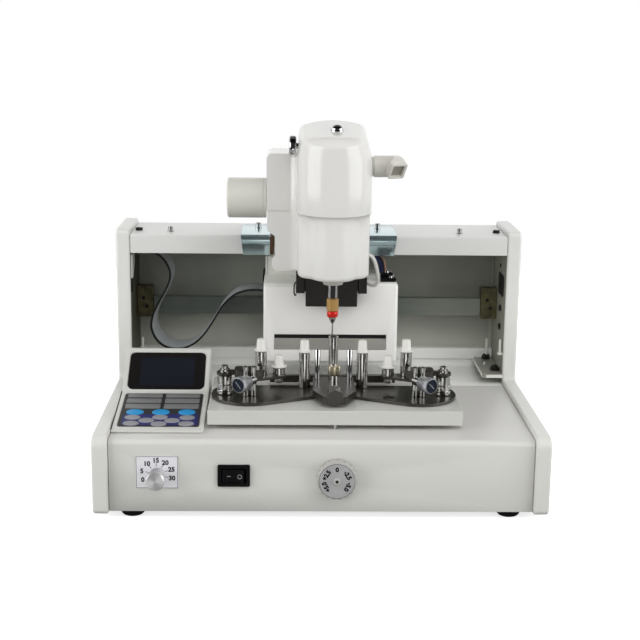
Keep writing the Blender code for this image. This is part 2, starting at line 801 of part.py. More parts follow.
def hull(centres, radius, steps=ARC_STEPS):
    """Outline round equal circles whose centres run counter-clockwise."""
    points = []
    count = len(centres)
    for index, centre in enumerate(centres):
        before = Vector(centre) - Vector(centres[index - 1])
        after = Vector(centres[(index + 1) % count]) - Vector(centre)
        start = math.atan2(-before.x, before.y)
        sweep = (math.atan2(-after.x, after.y) - start) % (2 * math.pi)
        for step in range(steps + 1):
            turn = start + sweep * step / steps
            points.append((centre[0] + radius * math.cos(turn), centre[1] + radius * math.sin(turn)))
    return points


def smooth_route(points, spans):
    """Points along a Catmull-Rom curve through the route's own points."""
    route = [Vector(point) for point in points]
    padded = [2 * route[0] - route[1], *route, 2 * route[-1] - route[-2]]
    places = []
    for first, second, third, fourth in zip(padded, padded[1:], padded[2:], padded[3:]):
        for step in range(spans):
            share = step / spans
            bend = (2 * second + (third - first) * share
                    + (2 * first - 5 * second + 4 * third - fourth) * share ** 2
                    + (3 * second - first - 3 * third + fourth) * share ** 3)
            places.append(bend / 2)
    places.append(route[-1])
    return places


def strip(points, thickness):
    """Closed outline of a bent strip of even thickness about a centre line."""
    line = [Vector(point) for point in points]
    left = []
    right = []
    for index, place in enumerate(line):
        before = line[max(index - 1, 0)]
        after = line[min(index + 1, len(line) - 1)]
        into = (place - before).normalized() if index else (after - place).normalized()
        out = (after - place).normalized() if after != place else into
        middle = (into + out).normalized()
        side = Vector((-middle.y, middle.x)) * (thickness / 2 / middle.dot(into))
        left.append(tuple(place + side))
        right.append(tuple(place - side))
    return left + right[::-1]


def loft(name, rings, location):
    """Closed skin through horizontal rings of equal point counts, bottom ring first."""
    mesh = bpy.data.meshes.new(name)
    shape = bmesh.new()
    levels = [[shape.verts.new(point) for point in ring] for ring in rings]
    for lower, upper in zip(levels, levels[1:]):
        count = len(lower)
        for index in range(count):
            after = (index + 1) % count
            shape.faces.new((lower[index], lower[after], upper[after], upper[index]))
    shape.faces.new(levels[0][::-1])
    shape.faces.new(levels[-1])
    bmesh.ops.recalc_face_normals(shape, faces=shape.faces)
    shape.to_mesh(mesh)
    shape.free()
    return make_object(name, mesh, location)


def make_side_cover(name, side):
    """Side cheek whose low front arm and tall rear part form an L."""
    inner = side * INNER_HALF_WIDTH
    outer = side * HALF_WIDTH
    front = FRONT_Y
    bay = deep(BAY_FRONT)
    back = deep(OVERALL_DEPTH)
    corners = [(front, COVER_BOTTOM), (back, COVER_BOTTOM), (back, REAR_COVER_TOP),
               (bay, REAR_COVER_TOP), (bay, FRONT_COVER_TOP), (front, FRONT_COVER_TOP)]
    radii = [COVER_CORNER_RADIUS, COVER_CORNER_RADIUS, COVER_CORNER_RADIUS,
             COVER_CORNER_RADIUS, COVER_CORNER_RADIUS, COVER_NOSE_RADIUS]
    cover = plate(name, [rounded(corners, radii)], COVER_THICKNESS, ((inner + outer) / 2, 0, 0),
                  ALONG_X)
    round_edges(cover, COVER_EDGE)
    finish(cover, WHITE_PAINT)


def make_base_housing():
    """Hollow base under the table, open below, with the sill along the rear bay."""
    front = deep(PANEL_SETBACK)
    back = deep(BASE_BACK)
    sill_front = back - SILL_DEPTH
    undercut_top = BASE_TOP + SILL_UNDERCUT_HEIGHT
    corners = [(front, BASE_BOTTOM), (back, BASE_BOTTOM), (back, SILL_TOP), (sill_front, SILL_TOP),
               (sill_front, undercut_top), (sill_front + SILL_UNDERCUT_DEPTH, undercut_top),
               (sill_front + SILL_UNDERCUT_DEPTH, BASE_TOP), (front, BASE_TOP)]
    radii = [0, 0, 0, 0, 0, 0, 0, BASE_NOSE_RADIUS]
    width = 2 * FITTED_HALF_WIDTH
    housing = plate("base_housing", [rounded(corners, radii)], width, FLAT, ALONG_X)
    hollow = box("base_hollow", (-FITTED_HALF_WIDTH + BASE_WALL, front + BASE_WALL, 0),
                 (FITTED_HALF_WIDTH - BASE_WALL, back - BASE_WALL, BASE_TOP - BASE_WALL))
    cut(housing, hollow)
    wall_start = front - OVERRUN
    wall_end = front + BASE_WALL + OVERRUN
    knob_hole = KNOB_SHAFT_RADIUS + SHAFT_HOLE_CLEARANCE
    cut(housing, cylinder("knob_shaft_hole", knob_hole, (SPEED_X, wall_start, SPEED_Z),
                          (SPEED_X, wall_end, SPEED_Z)))
    dial_hole = DIAL_SHAFT_RADIUS + SHAFT_HOLE_CLEARANCE
    cut(housing, cylinder("dial_shaft_hole", dial_hole, (DIAL_X, wall_start, DIAL_Z),
                          (DIAL_X, wall_end, DIAL_Z)))
    half = SWITCH_WIDTH / 2 - SWITCH_RIM + CLEARANCE
    rise = SWITCH_HEIGHT / 2 - SWITCH_RIM + CLEARANCE
    cut(housing, box("switch_cutout", (SWITCH_X - half, wall_start, SWITCH_Z - rise),
                     (SWITCH_X + half, wall_end, SWITCH_Z + rise)))
    inlet_half = INLET_BODY_WIDTH / 2 + CLEARANCE
    inlet_rise = INLET_BODY_HEIGHT / 2 + CLEARANCE
    cut(housing, box("inlet_cutout", (INLET_X - inlet_half, back - BASE_WALL - OVERRUN,
                                      INLET_Z - inlet_rise),
                     (INLET_X + inlet_half, back + OVERRUN, INLET_Z + inlet_rise)))
    for index in range(VENT_COUNT):
        height = VENT_CENTRE_Z + (index - (VENT_COUNT - 1) / 2) * VENT_PITCH
        cut(housing, box("base_vent_%d" % index, (VENT_CENTRE_X - VENT_LENGTH / 2,
                                                  back - BASE_WALL - OVERRUN,
                                                  height - VENT_HEIGHT / 2),
                         (VENT_CENTRE_X + VENT_LENGTH / 2, back + OVERRUN,
                          height + VENT_HEIGHT / 2)))
    hole_x = -INNER_HALF_WIDTH + WIRING_HOLE_INSET
    cut(housing, box("wiring_hole", (hole_x, deep(WIRING_HOLE_DEPTH), BASE_TOP - BASE_WALL - OVERRUN),
                     (hole_x + WIRING_HOLE_WIDTH, deep(WIRING_HOLE_DEPTH + WIRING_HOLE_LENGTH),
                      BASE_TOP + OVERRUN)))
    finish(housing, WHITE_PAINT)


def make_floor_plate():
    bottom = COVER_BOTTOM
    floor = box("floor_plate", (-FITTED_HALF_WIDTH, deep(PANEL_SETBACK), bottom),
                (FITTED_HALF_WIDTH, deep(BASE_BACK), bottom + FLOOR_THICKNESS))
    finish(floor, STEEL)


def make_foot(name, across, depth):
    rim = FOOT_RADIUS - FOOT_TAPER
    profile = [(0, FOOT_HEIGHT), (FOOT_RADIUS, FOOT_HEIGHT), (FOOT_RADIUS, FOOT_TAPER), (rim, 0),
               (0, 0)]
    foot = turned(name, profile, (across, deep(depth), 0))
    finish(foot, BLACK_RUBBER, smooth=True)


def make_top_beam():
    """Folded sheet with a front flange that closes the rear bay at the top."""
    front = deep(BAY_FRONT)
    back = deep(OVERALL_DEPTH)
    flange_bottom = BEAM_TOP - BEAM_FLANGE_HEIGHT
    corners = [(front, flange_bottom), (front + BEAM_SHEET, flange_bottom),
               (front + BEAM_SHEET, BEAM_TOP - BEAM_SHEET), (back, BEAM_TOP - BEAM_SHEET),
               (back, BEAM_TOP), (front, BEAM_TOP)]
    radii = [0, 0, 0, 0, 0, BEAM_NOSE_RADIUS]
    beam = plate("top_beam", [rounded(corners, radii)], 2 * FITTED_HALF_WIDTH, FLAT, ALONG_X)
    finish(beam, WHITE_PAINT)


def make_rear_wall():
    """Rear sheet with the inlet cutout and a row of vents."""
    top = BEAM_TOP - BEAM_SHEET - CLEARANCE
    width = 2 * FITTED_HALF_WIDTH
    middle = (COVER_BOTTOM + top) / 2
    holes = [rectangle(INLET_BODY_WIDTH + 2 * CLEARANCE, INLET_BODY_HEIGHT + 2 * CLEARANCE)]
    places = [(INLET_X, INLET_Z - middle)]
    for index in range(VENT_COUNT):
        holes.append(rectangle(VENT_LENGTH, VENT_HEIGHT))
        rise = VENT_CENTRE_Z + (index - (VENT_COUNT - 1) / 2) * VENT_PITCH
        places.append((VENT_CENTRE_X, rise - middle))
    outlines = [rectangle(width, top - COVER_BOTTOM)]
    for hole, (across, up) in zip(holes, places):
        outlines.append([(across + x, up + y) for x, y in hole])
    centre_y = deep(WALL_FRONT + REAR_WALL_THICKNESS / 2)
    wall = plate("rear_wall", outlines, REAR_WALL_THICKNESS, (0, centre_y, middle), FACING_FRONT)
    finish(wall, WHITE_PAINT)


def make_beam_hook(name, centre_x):
    """Bent zinc plated strip that hooks over the beam and is held by one screw."""
    front = deep(BAY_FRONT)
    level = BEAM_TOP + CLEARANCE + HOOK_SHEET / 2
    line = [(front + HOOK_TAB_LENGTH, level), (front - HOOK_REACH, level),
            (front - HOOK_REACH - HOOK_SHEET / 2, level - HOOK_REACH),
            (front - HOOK_KINK_REACH, level - HOOK_KINK_DROP),
            (front - HOOK_LIP_REACH, level - HOOK_DROP)]
    hook = plate(name, [strip(line, HOOK_SHEET)], HOOK_WIDTH, (centre_x, 0, 0), ALONG_X)
    screw_y = front + HOOK_TAB_LENGTH - HOOK_SCREW_BACK
    top = level + HOOK_SHEET / 2
    fuse(hook, cylinder(name + "_screw", HOOK_SCREW_RADIUS, (centre_x, screw_y, level),
                        (centre_x, screw_y, top + HOOK_SCREW_HEIGHT), sides=12))
    finish(hook, ZINC)


def make_rail():
    """Flat cross rail between its two end brackets."""
    front = deep(RAIL_DEPTH)
    bracket_inner = INNER_HALF_WIDTH - CLEARANCE - RAIL_BRACKET_WIDTH
    half = bracket_inner - CLEARANCE
    rail = box("guide_rail", (-half, front, RAIL_BOTTOM),
               (half, front + RAIL_THICKNESS, RAIL_BOTTOM + RAIL_HEIGHT))
    finish(rail, STEEL)
    middle = front + RAIL_THICKNESS / 2
    low_y = middle - RAIL_BRACKET_THICKNESS / 2
    high_y = middle + RAIL_BRACKET_THICKNESS / 2
    top = RAIL_BRACKET_BOTTOM + RAIL_BRACKET_HEIGHT
    for name, side in (("left_rail_bracket", -1), ("right_rail_bracket", 1)):
        inner = side * bracket_inner
        outer = side * FITTED_HALF_WIDTH
        bracket = box(name, (min(inner, outer), low_y, RAIL_BRACKET_BOTTOM),
                      (max(inner, outer), high_y, top), RAIL_BRACKET_EDGE, 1)
        centre = (inner + outer) / 2
        for step, lift in ((-1, RAIL_BRACKET_HOLE_RISE + RAIL_BRACKET_HOLE_SPREAD),
                           (1, RAIL_BRACKET_HOLE_RISE)):
            hole_x = centre + step * RAIL_BRACKET_HOLE_RADIUS
            hole_z = RAIL_BRACKET_BOTTOM + lift
            cut(bracket, cylinder("%s_hole_%d" % (name, step), RAIL_BRACKET_HOLE_RADIUS,
                                  (hole_x, low_y - OVERRUN, hole_z),
                                  (hole_x, high_y + OVERRUN, hole_z), sides=12))
        finish(bracket, YELLOW_ZINC)


def make_corner_plate():
    """Small plate bolted down beside the right cover, on its two bolts as spacers."""
    right = FITTED_HALF_WIDTH
    left = right - CORNER_PLATE_WIDTH
    front = deep(CORNER_PLATE_FRONT)
    back = front + CORNER_PLATE_LENGTH
    bottom = BASE_TOP + CORNER_PLATE_LIFT
    top = bottom + CORNER_PLATE_SHEET
    corners = [(left, front), (right, front), (right, back), (left, back)]
    radii = [CORNER_PLATE_RADIUS, 0, 0, CORNER_PLATE_RADIUS]
    corner = plate("corner_plate", [rounded(corners, radii)], CORNER_PLATE_SHEET,
                   (0, 0, (bottom + top) / 2))
    for index, share in enumerate(CORNER_BOLT_SHARES):
        centre_x = (left + right) / 2 - CORNER_BOLT_OFFSET + index * CORNER_BOLT_OFFSET
        bolt_y = front + share * CORNER_PLATE_LENGTH
        fuse(corner, cylinder("corner_head_%d" % index, CORNER_BOLT_RADIUS,
                              (centre_x, bolt_y, bottom + CLEARANCE),
                              (centre_x, bolt_y, top + CORNER_BOLT_HEAD), sides=6))
        fuse(corner, cylinder("corner_shank_%d" % index, CORNER_BOLT_SHANK,
                              (centre_x, bolt_y, BASE_TOP + CLEARANCE),
                              (centre_x, bolt_y, bottom + CORNER_PLATE_SHEET / 2), sides=12))
        if index:
            fuse(corner, cylinder("corner_pin", CORNER_PIN_RADIUS, (centre_x, bolt_y, top),
                                  (centre_x, bolt_y, top + CORNER_BOLT_HEAD + CORNER_PIN_HEIGHT),
                                  sides=8))
    finish(corner, WHITE_PAINT)


def facet_empty(name, low, high):
    """Empty at the middle of a sloping facet, with local Y up the slope and Z outward."""
    rise = math.atan2(high[1] - low[1], high[0] - low[0])
    centre_x = CONSOLE_LEFT + CONSOLE_WIDTH / 2
    middle = ((low[0] + high[0]) / 2, (low[1] + high[1]) / 2)
    return joint_empty(name, (centre_x, middle[0], middle[1]), (rise, 0, 0))


def on_facet(facet, across, up, out):
    return facet.matrix_world @ Vector((across, up, out))


def make_console():
    """Keypad and display housing whose lower facet is flatter than its upper one."""
    start = BASE_TOP + CLEARANCE
    front = deep(CONSOLE_FRONT_DEPTH)
    bend = (deep(CONSOLE_BEND_DEPTH), BASE_TOP + CONSOLE_BEND_RISE)
    crest = (deep(CONSOLE_CREST_DEPTH), BASE_TOP + CONSOLE_CREST_RISE)
    back = crest[0] + CONSOLE_CREST_FLAT
    lip = (front, start + CONSOLE_LIP)
    corners = [(front, start), (back, start), (back, crest[1]), crest, bend, lip]
    middle_x = CONSOLE_LEFT + CONSOLE_WIDTH / 2
    housing = plate("console_housing", [corners], CONSOLE_WIDTH, (middle_x, 0, 0), ALONG_X)
    round_edges(housing, CONSOLE_EDGE, angle=math.radians(15))
    upper = facet_empty("display_facet", bend, crest)
    lower = facet_empty("keypad_facet", lip, bend)
    bpy.context.view_layer.update()
    pocket = plate("display_pocket", [rounded_rectangle(DISPLAY_WIDTH + 2 * CLEARANCE,
                                                        DISPLAY_HEIGHT + 2 * CLEARANCE,
                                                        DISPLAY_RADIUS)],
                   2 * DISPLAY_POCKET, upper.location, upper.rotation_euler)
    cut(housing, pocket)
    tray = plate("keypad_pocket", [rounded_rectangle(KEYPAD_WIDTH + 2 * CLEARANCE,
                                                     KEYPAD_HEIGHT + 2 * CLEARANCE,
                                                     KEYPAD_RADIUS)],
                 2 * KEYPAD_POCKET, on_facet(lower, 0, KEYPAD_SHIFT, 0), lower.rotation_euler)
    cut(housing, tray)
    finish(housing, WHITE_PLASTIC)
    window_out = CLEARANCE - DISPLAY_POCKET + DISPLAY_THICKNESS / 2
    window = plate("display_window", [rounded_rectangle(DISPLAY_WIDTH, DISPLAY_HEIGHT,
                                                        DISPLAY_RADIUS)],
                   DISPLAY_THICKNESS, on_facet(upper, 0, 0, window_out), upper.rotation_euler)
    finish(window, DARK_GLASS)
    sheet_out = CLEARANCE - KEYPAD_POCKET + KEYPAD_THICKNESS / 2
    sheet = plate("keypad_membrane", [rounded_rectangle(KEYPAD_WIDTH, KEYPAD_HEIGHT,
                                                        KEYPAD_RADIUS)],
                  KEYPAD_THICKNESS, on_facet(lower, 0, KEYPAD_SHIFT, sheet_out),
                  lower.rotation_euler)
    finish(sheet, KEY_SHEET)


def make_speed_control():
    """Printed scale plate with a turned aluminium knob on a shaft through the panel."""
    panel = deep(PANEL_SETBACK)
    scale_y = panel - CLEARANCE - SCALE_THICKNESS / 2
    hole = circle(KNOB_SHAFT_RADIUS + SHAFT_HOLE_CLEARANCE, (0, -SCALE_RISE))
    scale = plate("speed_scale_plate", [rectangle(SCALE_WIDTH, SCALE_HEIGHT), hole],
                  SCALE_THICKNESS, (SPEED_X, scale_y, SPEED_Z + SCALE_RISE), FACING_FRONT)
    finish(scale, ALUMINIUM)
    seat = panel - PLATE_FRONT_STANDOFF
    pivot = joint_empty("speed_knob_axis", (SPEED_X, seat, SPEED_Z))
    profile = [(0, KNOB_LENGTH), (KNOB_RADIUS - KNOB_CHAMFER, KNOB_LENGTH),
               (KNOB_RADIUS, KNOB_LENGTH - KNOB_CHAMFER), (KNOB_RADIUS, 0), (KNOB_SHAFT_RADIUS, 0),
               (KNOB_SHAFT_RADIUS, -KNOB_SHAFT_LENGTH), (0, -KNOB_SHAFT_LENGTH)]
    knob = turned("speed_knob", profile, (SPEED_X, seat, SPEED_Z), FACING_FRONT)
    finish(knob, ALUMINIUM, pivot, smooth=True)


def make_switch():
    """Rocker switch: framed body through the panel and a rocker on a vertical pivot."""
    panel = deep(PANEL_SETBACK)
    bezel_y = panel - CLEARANCE - SWITCH_BEZEL / 2
    half = SWITCH_WIDTH / 2 - SWITCH_RIM
    rise = SWITCH_HEIGHT / 2 - SWITCH_RIM
    frame = plate("switch_frame", [rounded_rectangle(SWITCH_WIDTH, SWITCH_HEIGHT, SWITCH_CORNER)],
                  SWITCH_BEZEL, (SWITCH_X, bezel_y, SWITCH_Z), FACING_FRONT)
    fuse(frame, box("switch_body", (SWITCH_X - half, bezel_y, SWITCH_Z - rise),
                    (SWITCH_X + half, panel + SWITCH_BODY_DEPTH, SWITCH_Z + rise)))
    cavity_half = half - SWITCH_WALL
    cavity_rise = rise - SWITCH_WALL
    front = panel - CLEARANCE - SWITCH_BEZEL
    cut(frame, box("switch_cavity", (SWITCH_X - cavity_half, front - OVERRUN,
                                     SWITCH_Z - cavity_rise),
                   (SWITCH_X + cavity_half, front + SWITCH_CAVITY_DEPTH, SWITCH_Z + cavity_rise)))
    finish(frame, BLACK_PLASTIC)
    pivot_y = front + ROCKER_PIVOT_DEPTH + ROCKER_BACK / 2
    pivot = joint_empty("rocker_axis", (SWITCH_X, pivot_y, SWITCH_Z))
    reach = cavity_half - ROCKER_END_GAP
    outline = [(-reach, -ROCKER_FRONT), (0, ROCKER_HOLLOW - ROCKER_FRONT), (reach, -ROCKER_FRONT),
               (reach - ROCKER_HOLLOW, ROCKER_SHOULDER), (0, ROCKER_BACK),
               (ROCKER_HOLLOW - reach, ROCKER_SHOULDER)]
    rocker = plate("switch_rocker", [outline], 2 * (cavity_rise - CLEARANCE),
                   (SWITCH_X, pivot_y, SWITCH_Z), (0, 0, ROCKER_REST_ANGLE))
    finish(rocker, BLACK_PLASTIC, pivot)


def make_offset_dial():
    """Scalloped white dial with a grey scale face, on a shaft through the panel."""
    panel = deep(PANEL_SETBACK)
    seat = panel - CLEARANCE
    pivot = joint_empty("offset_dial_axis", (DIAL_X, seat, DIAL_Z))
    count = DIAL_LOBES * DIAL_POINTS_PER_LOBE
    rim = []
    for index in range(count):
        turn = 2 * math.pi * index / count
        radius = DIAL_RADIUS + DIAL_SCALLOP * math.cos(DIAL_LOBES * turn)
        rim.append((radius * math.cos(turn), radius * math.sin(turn)))
    dial = plate("offset_dial", [rim], DIAL_THICKNESS, (DIAL_X, seat - DIAL_THICKNESS / 2, DIAL_Z),
                 FACING_FRONT)
    face_level = DIAL_THICKNESS + DIAL_FACE_RISE
    profile = [(0, face_level + DIAL_SCREW_RISE), (DIAL_SCREW_RADIUS, face_level + DIAL_SCREW_RISE),
               (DIAL_SCREW_RADIUS, face_level), (DIAL_FACE_RADIUS, face_level),
               (DIAL_FACE_RADIUS, DIAL_THICKNESS / 2), (DIAL_SHAFT_RADIUS, DIAL_THICKNESS / 2),
               (DIAL_SHAFT_RADIUS, -DIAL_SHAFT_LENGTH), (0, -DIAL_SHAFT_LENGTH)]
    fuse(dial, turned("dial_face_and_shaft", profile, (DIAL_X, seat, DIAL_Z), FACING_FRONT))
    finish(dial, WHITE_PLASTIC, pivot)


def make_power_inlet():
    """Mains inlet with three blades in its pocket; no lead is fitted."""
    wall_back = deep(OVERALL_DEPTH)
    flange_y = wall_back + CLEARANCE + INLET_FLANGE_THICKNESS / 2
    face = wall_back + CLEARANCE + INLET_FLANGE_THICKNESS
    half = INLET_BODY_WIDTH / 2
    rise = INLET_BODY_HEIGHT / 2
    inlet = plate("power_inlet", [rounded_rectangle(INLET_FLANGE_WIDTH, INLET_FLANGE_HEIGHT,
                                                    INLET_CORNER)],
                  INLET_FLANGE_THICKNESS, (INLET_X, flange_y, INLET_Z), FACING_FRONT)
    fuse(inlet, box("inlet_body", (INLET_X - half, face - INLET_BODY_DEPTH, INLET_Z - rise),
                    (INLET_X + half, flange_y, INLET_Z + rise)))
    cut(inlet, box("inlet_pocket", (INLET_X - half + INLET_WALL, face - INLET_POCKET_DEPTH,
                                    INLET_Z - rise + INLET_WALL),
                   (INLET_X + half - INLET_WALL, face + OVERRUN, INLET_Z + rise - INLET_WALL)))
    for index in (-1, 0, 1):
        centre_x = INLET_X + index * INLET_BLADE_SPREAD
        centre_z = INLET_Z + (INLET_BLADE_RISE if index == 0 else -INLET_BLADE_RISE)
        start = face - INLET_POCKET_DEPTH - INLET_WALL / 2
        fuse(inlet, box("inlet_blade_%d" % index, (centre_x - INLET_BLADE_WIDTH / 2, start,
                                                   centre_z - INLET_BLADE_HEIGHT / 2),
                        (centre_x + INLET_BLADE_WIDTH / 2, start + INLET_BLADE_LENGTH,
                         centre_z + INLET_BLADE_HEIGHT / 2)))
    finish(inlet, BLACK_PLASTIC)


def make_circuit_board():
    """Control board on four posts above the floor plate, with its tallest components."""
    floor_top = COVER_BOTTOM + FLOOR_THICKNESS
    bottom = floor_top + BOARD_LIFT
    top = bottom + BOARD_THICKNESS
    left = BOARD_X - BOARD_WIDTH / 2
    right = BOARD_X + BOARD_WIDTH / 2
    front = deep(BOARD_FRONT_DEPTH)
    back = front + BOARD_DEPTH
    board = box("circuit_board", (left, front, bottom), (right, back, top))
    for column, post_x in enumerate((left + BOARD_POST_INSET, right - BOARD_POST_INSET)):
        for row, post_y in enumerate((front + BOARD_POST_INSET, back - BOARD_POST_INSET)):
            fuse(board, cylinder("board_post_%d_%d" % (column, row), BOARD_POST_RADIUS,
                                 (post_x, post_y, floor_top + CLEARANCE),
                                 (post_x, post_y, bottom + BOARD_THICKNESS / 2), sides=10))
    middle_y = (front + back) / 2
    seat = bottom + BOARD_THICKNESS / 2
    sizes = {"board_transformer": TRANSFORMER_SIZE, "board_heatsink": HEATSINK_SIZE}
    for share, (name, size) in zip(BOARD_PART_SHARES, sizes.items()):
        centre_x = BOARD_X + share * BOARD_WIDTH
        fuse(board, box(name, (centre_x - size[0] / 2, middle_y - size[1] / 2, seat),
                        (centre_x + size[0] / 2, middle_y + size[1] / 2, top + size[2])))
    fuse(board, cylinder("board_capacitor", CAPACITOR_RADIUS, (BOARD_X, middle_y, seat),
                         (BOARD_X, middle_y, top + CAPACITOR_HEIGHT), sides=16))
    finish(board, BOARD_GREEN)


def make_ribbon_cable():
    """Flat cable that sags from the beam's left end and rises to the column."""
    places = [(across - INNER_HALF_WIDTH, height) for across, height in RIBBON_ROUTE]
    route = smooth_route(places, RIBBON_POINTS_PER_SPAN)
    depth = RIBBON_FRONT_DEPTH + RIBBON_WIDTH / 2
    cable = plate("ribbon_cable", [strip(route, RIBBON_THICKNESS)], RIBBON_WIDTH,
                  (0, deep(depth), 0), FACING_FRONT)
    finish(cable, GREY_CABLE)


def make_column(carriage):
    """White carriage housing under the beam, hollow from below, with its blank name plate."""
    left = CARRIAGE_X - COLUMN_HALF_WIDTH
    right = CARRIAGE_X + COLUMN_HALF_WIDTH
    front = deep(COLUMN_FRONT_DEPTH)
    back = deep(COLUMN_BACK_DEPTH)
    column = box("column_cover", (left, front, COLUMN_BOTTOM), (right, back, COLUMN_TOP),
                 COLUMN_EDGE)
    fuse(column, box("column_riser", (left + COLUMN_EDGE, back - RISER_DEPTH,
                                      COLUMN_TOP - COLUMN_EDGE - COLUMN_WALL),
                     (left + RISER_WIDTH, back - COLUMN_EDGE, COLUMN_TOP + RISER_HEIGHT)))
    wall = COLUMN_WALL + NAME_RECESS_DEPTH
    cut(column, box("column_hollow", (left + wall, front + wall, COLUMN_BOTTOM - OVERRUN),
                    (right - wall, back - wall, COLUMN_TOP - wall)))
    recess_half = NAME_RECESS_WIDTH / 2
    recess_top = NAME_RECESS_BOTTOM + NAME_RECESS_HEIGHT
    cut(column, box("name_recess", (CARRIAGE_X - recess_half, front - OVERRUN, NAME_RECESS_BOTTOM),
                    (CARRIAGE_X + recess_half, front + NAME_RECESS_DEPTH, recess_top)))
    finish(column, WHITE_PAINT, carriage)
    plate_z = NAME_RECESS_BOTTOM + CLEARANCE + NAME_PLATE_HEIGHT / 2
    plate_y = front + NAME_RECESS_DEPTH - CLEARANCE - NAME_PLATE_THICKNESS / 2
    label = plate("name_plate", [rounded_rectangle(NAME_RECESS_WIDTH - 2 * CLEARANCE,
                                                   NAME_PLATE_HEIGHT, NAME_PLATE_RADIUS)],
                  NAME_PLATE_THICKNESS, (CARRIAGE_X, plate_y, plate_z), FACING_FRONT)
    finish(label, ALUMINIUM, carriage)


def make_runner(carriage):
    """Block behind the column that grips the cross rail from the front."""
    front = deep(COLUMN_BACK_DEPTH) + CLEARANCE
    rail_front = deep(RAIL_DEPTH)
    back = rail_front + RAIL_THICKNESS + RUNNER_BACK_REACH
    bottom = RAIL_BOTTOM - RUNNER_LIP
    top = RAIL_BOTTOM + RAIL_HEIGHT + RUNNER_LIP
    corners = [(front, bottom), (back, bottom), (back, RAIL_BOTTOM - CLEARANCE),
               (rail_front - CLEARANCE, RAIL_BOTTOM - CLEARANCE),
               (rail_front - CLEARANCE, RAIL_BOTTOM + RAIL_HEIGHT + CLEARANCE),
               (back, RAIL_BOTTOM + RAIL_HEIGHT + CLEARANCE), (back, top), (front, top)]
    runner = plate("rail_runner", [corners], 2 * RUNNER_HALF_WIDTH, (CARRIAGE_X, 0, 0), ALONG_X)
    finish(runner, STEEL, carriage)


def make_terminal_block(carriage):
    centre_x = CARRIAGE_X + TERMINAL_OFFSET
    bottom = COLUMN_TOP + CLEARANCE
    front = deep(COLUMN_FRONT_DEPTH) + TERMINAL_BACK
    top = bottom + TERMINAL_HEIGHT
    block = box("terminal_block", (centre_x - TERMINAL_WIDTH / 2, front, bottom),
                (centre_x + TERMINAL_WIDTH / 2, front + TERMINAL_DEPTH, top))
    for side in (-1, 1):
        screw_x = centre_x + side * TERMINAL_SCREW_SPREAD
        screw_y = front + TERMINAL_DEPTH / 2 - side * TERMINAL_SCREW_RADIUS
        fuse(block, cylinder("terminal_screw_%d" % side, TERMINAL_SCREW_RADIUS,
                             (screw_x, screw_y, bottom + TERMINAL_HEIGHT / 2),
                             (screw_x, screw_y, top + TERMINAL_SCREW_HEIGHT), sides=12))
    finish(block, BLACK_PLASTIC, carriage)


def make_slide_guide(carriage):
    """Black channel on the column's front face in which the head's plate slides."""
    back = deep(GUIDE_BACK_DEPTH)
    front = back - GUIDE_DEPTH
    floor = back - GUIDE_BACK
    outer = GUIDE_HALF_WIDTH
    inner = GUIDE_HALF_WIDTH - GUIDE_CHEEK
    corners = [(-outer, front), (-inner, front), (-inner, floor), (inner, floor), (inner, front),
               (outer, front), (outer, back), (-outer, back)]
    guide = plate("slide_guide", [corners], GUIDE_TOP - GUIDE_BOTTOM,
                  (CARRIAGE_X, 0, (GUIDE_TOP + GUIDE_BOTTOM) / 2))
    finish(guide, BLACK_METAL, carriage)


def head_outline(radius, back):
    """Half round front and straight sides back to the rear plane, about the spindle axis."""
    points = [(radius, back), (-radius, back)]
    for step in range(HEAD_OUTLINE_STEPS + 1):
        turn = math.pi + math.pi * step / HEAD_OUTLINE_STEPS
        points.append((radius * math.cos(turn), radius * math.sin(turn)))
    return points


def head_top(across, along, radius):
    """Height of the sloped and crowned top above its level at the spindle axis."""
    return HEAD_TOP_SLOPE_SHARE * along - HEAD_CROWN * (across / radius) ** 2


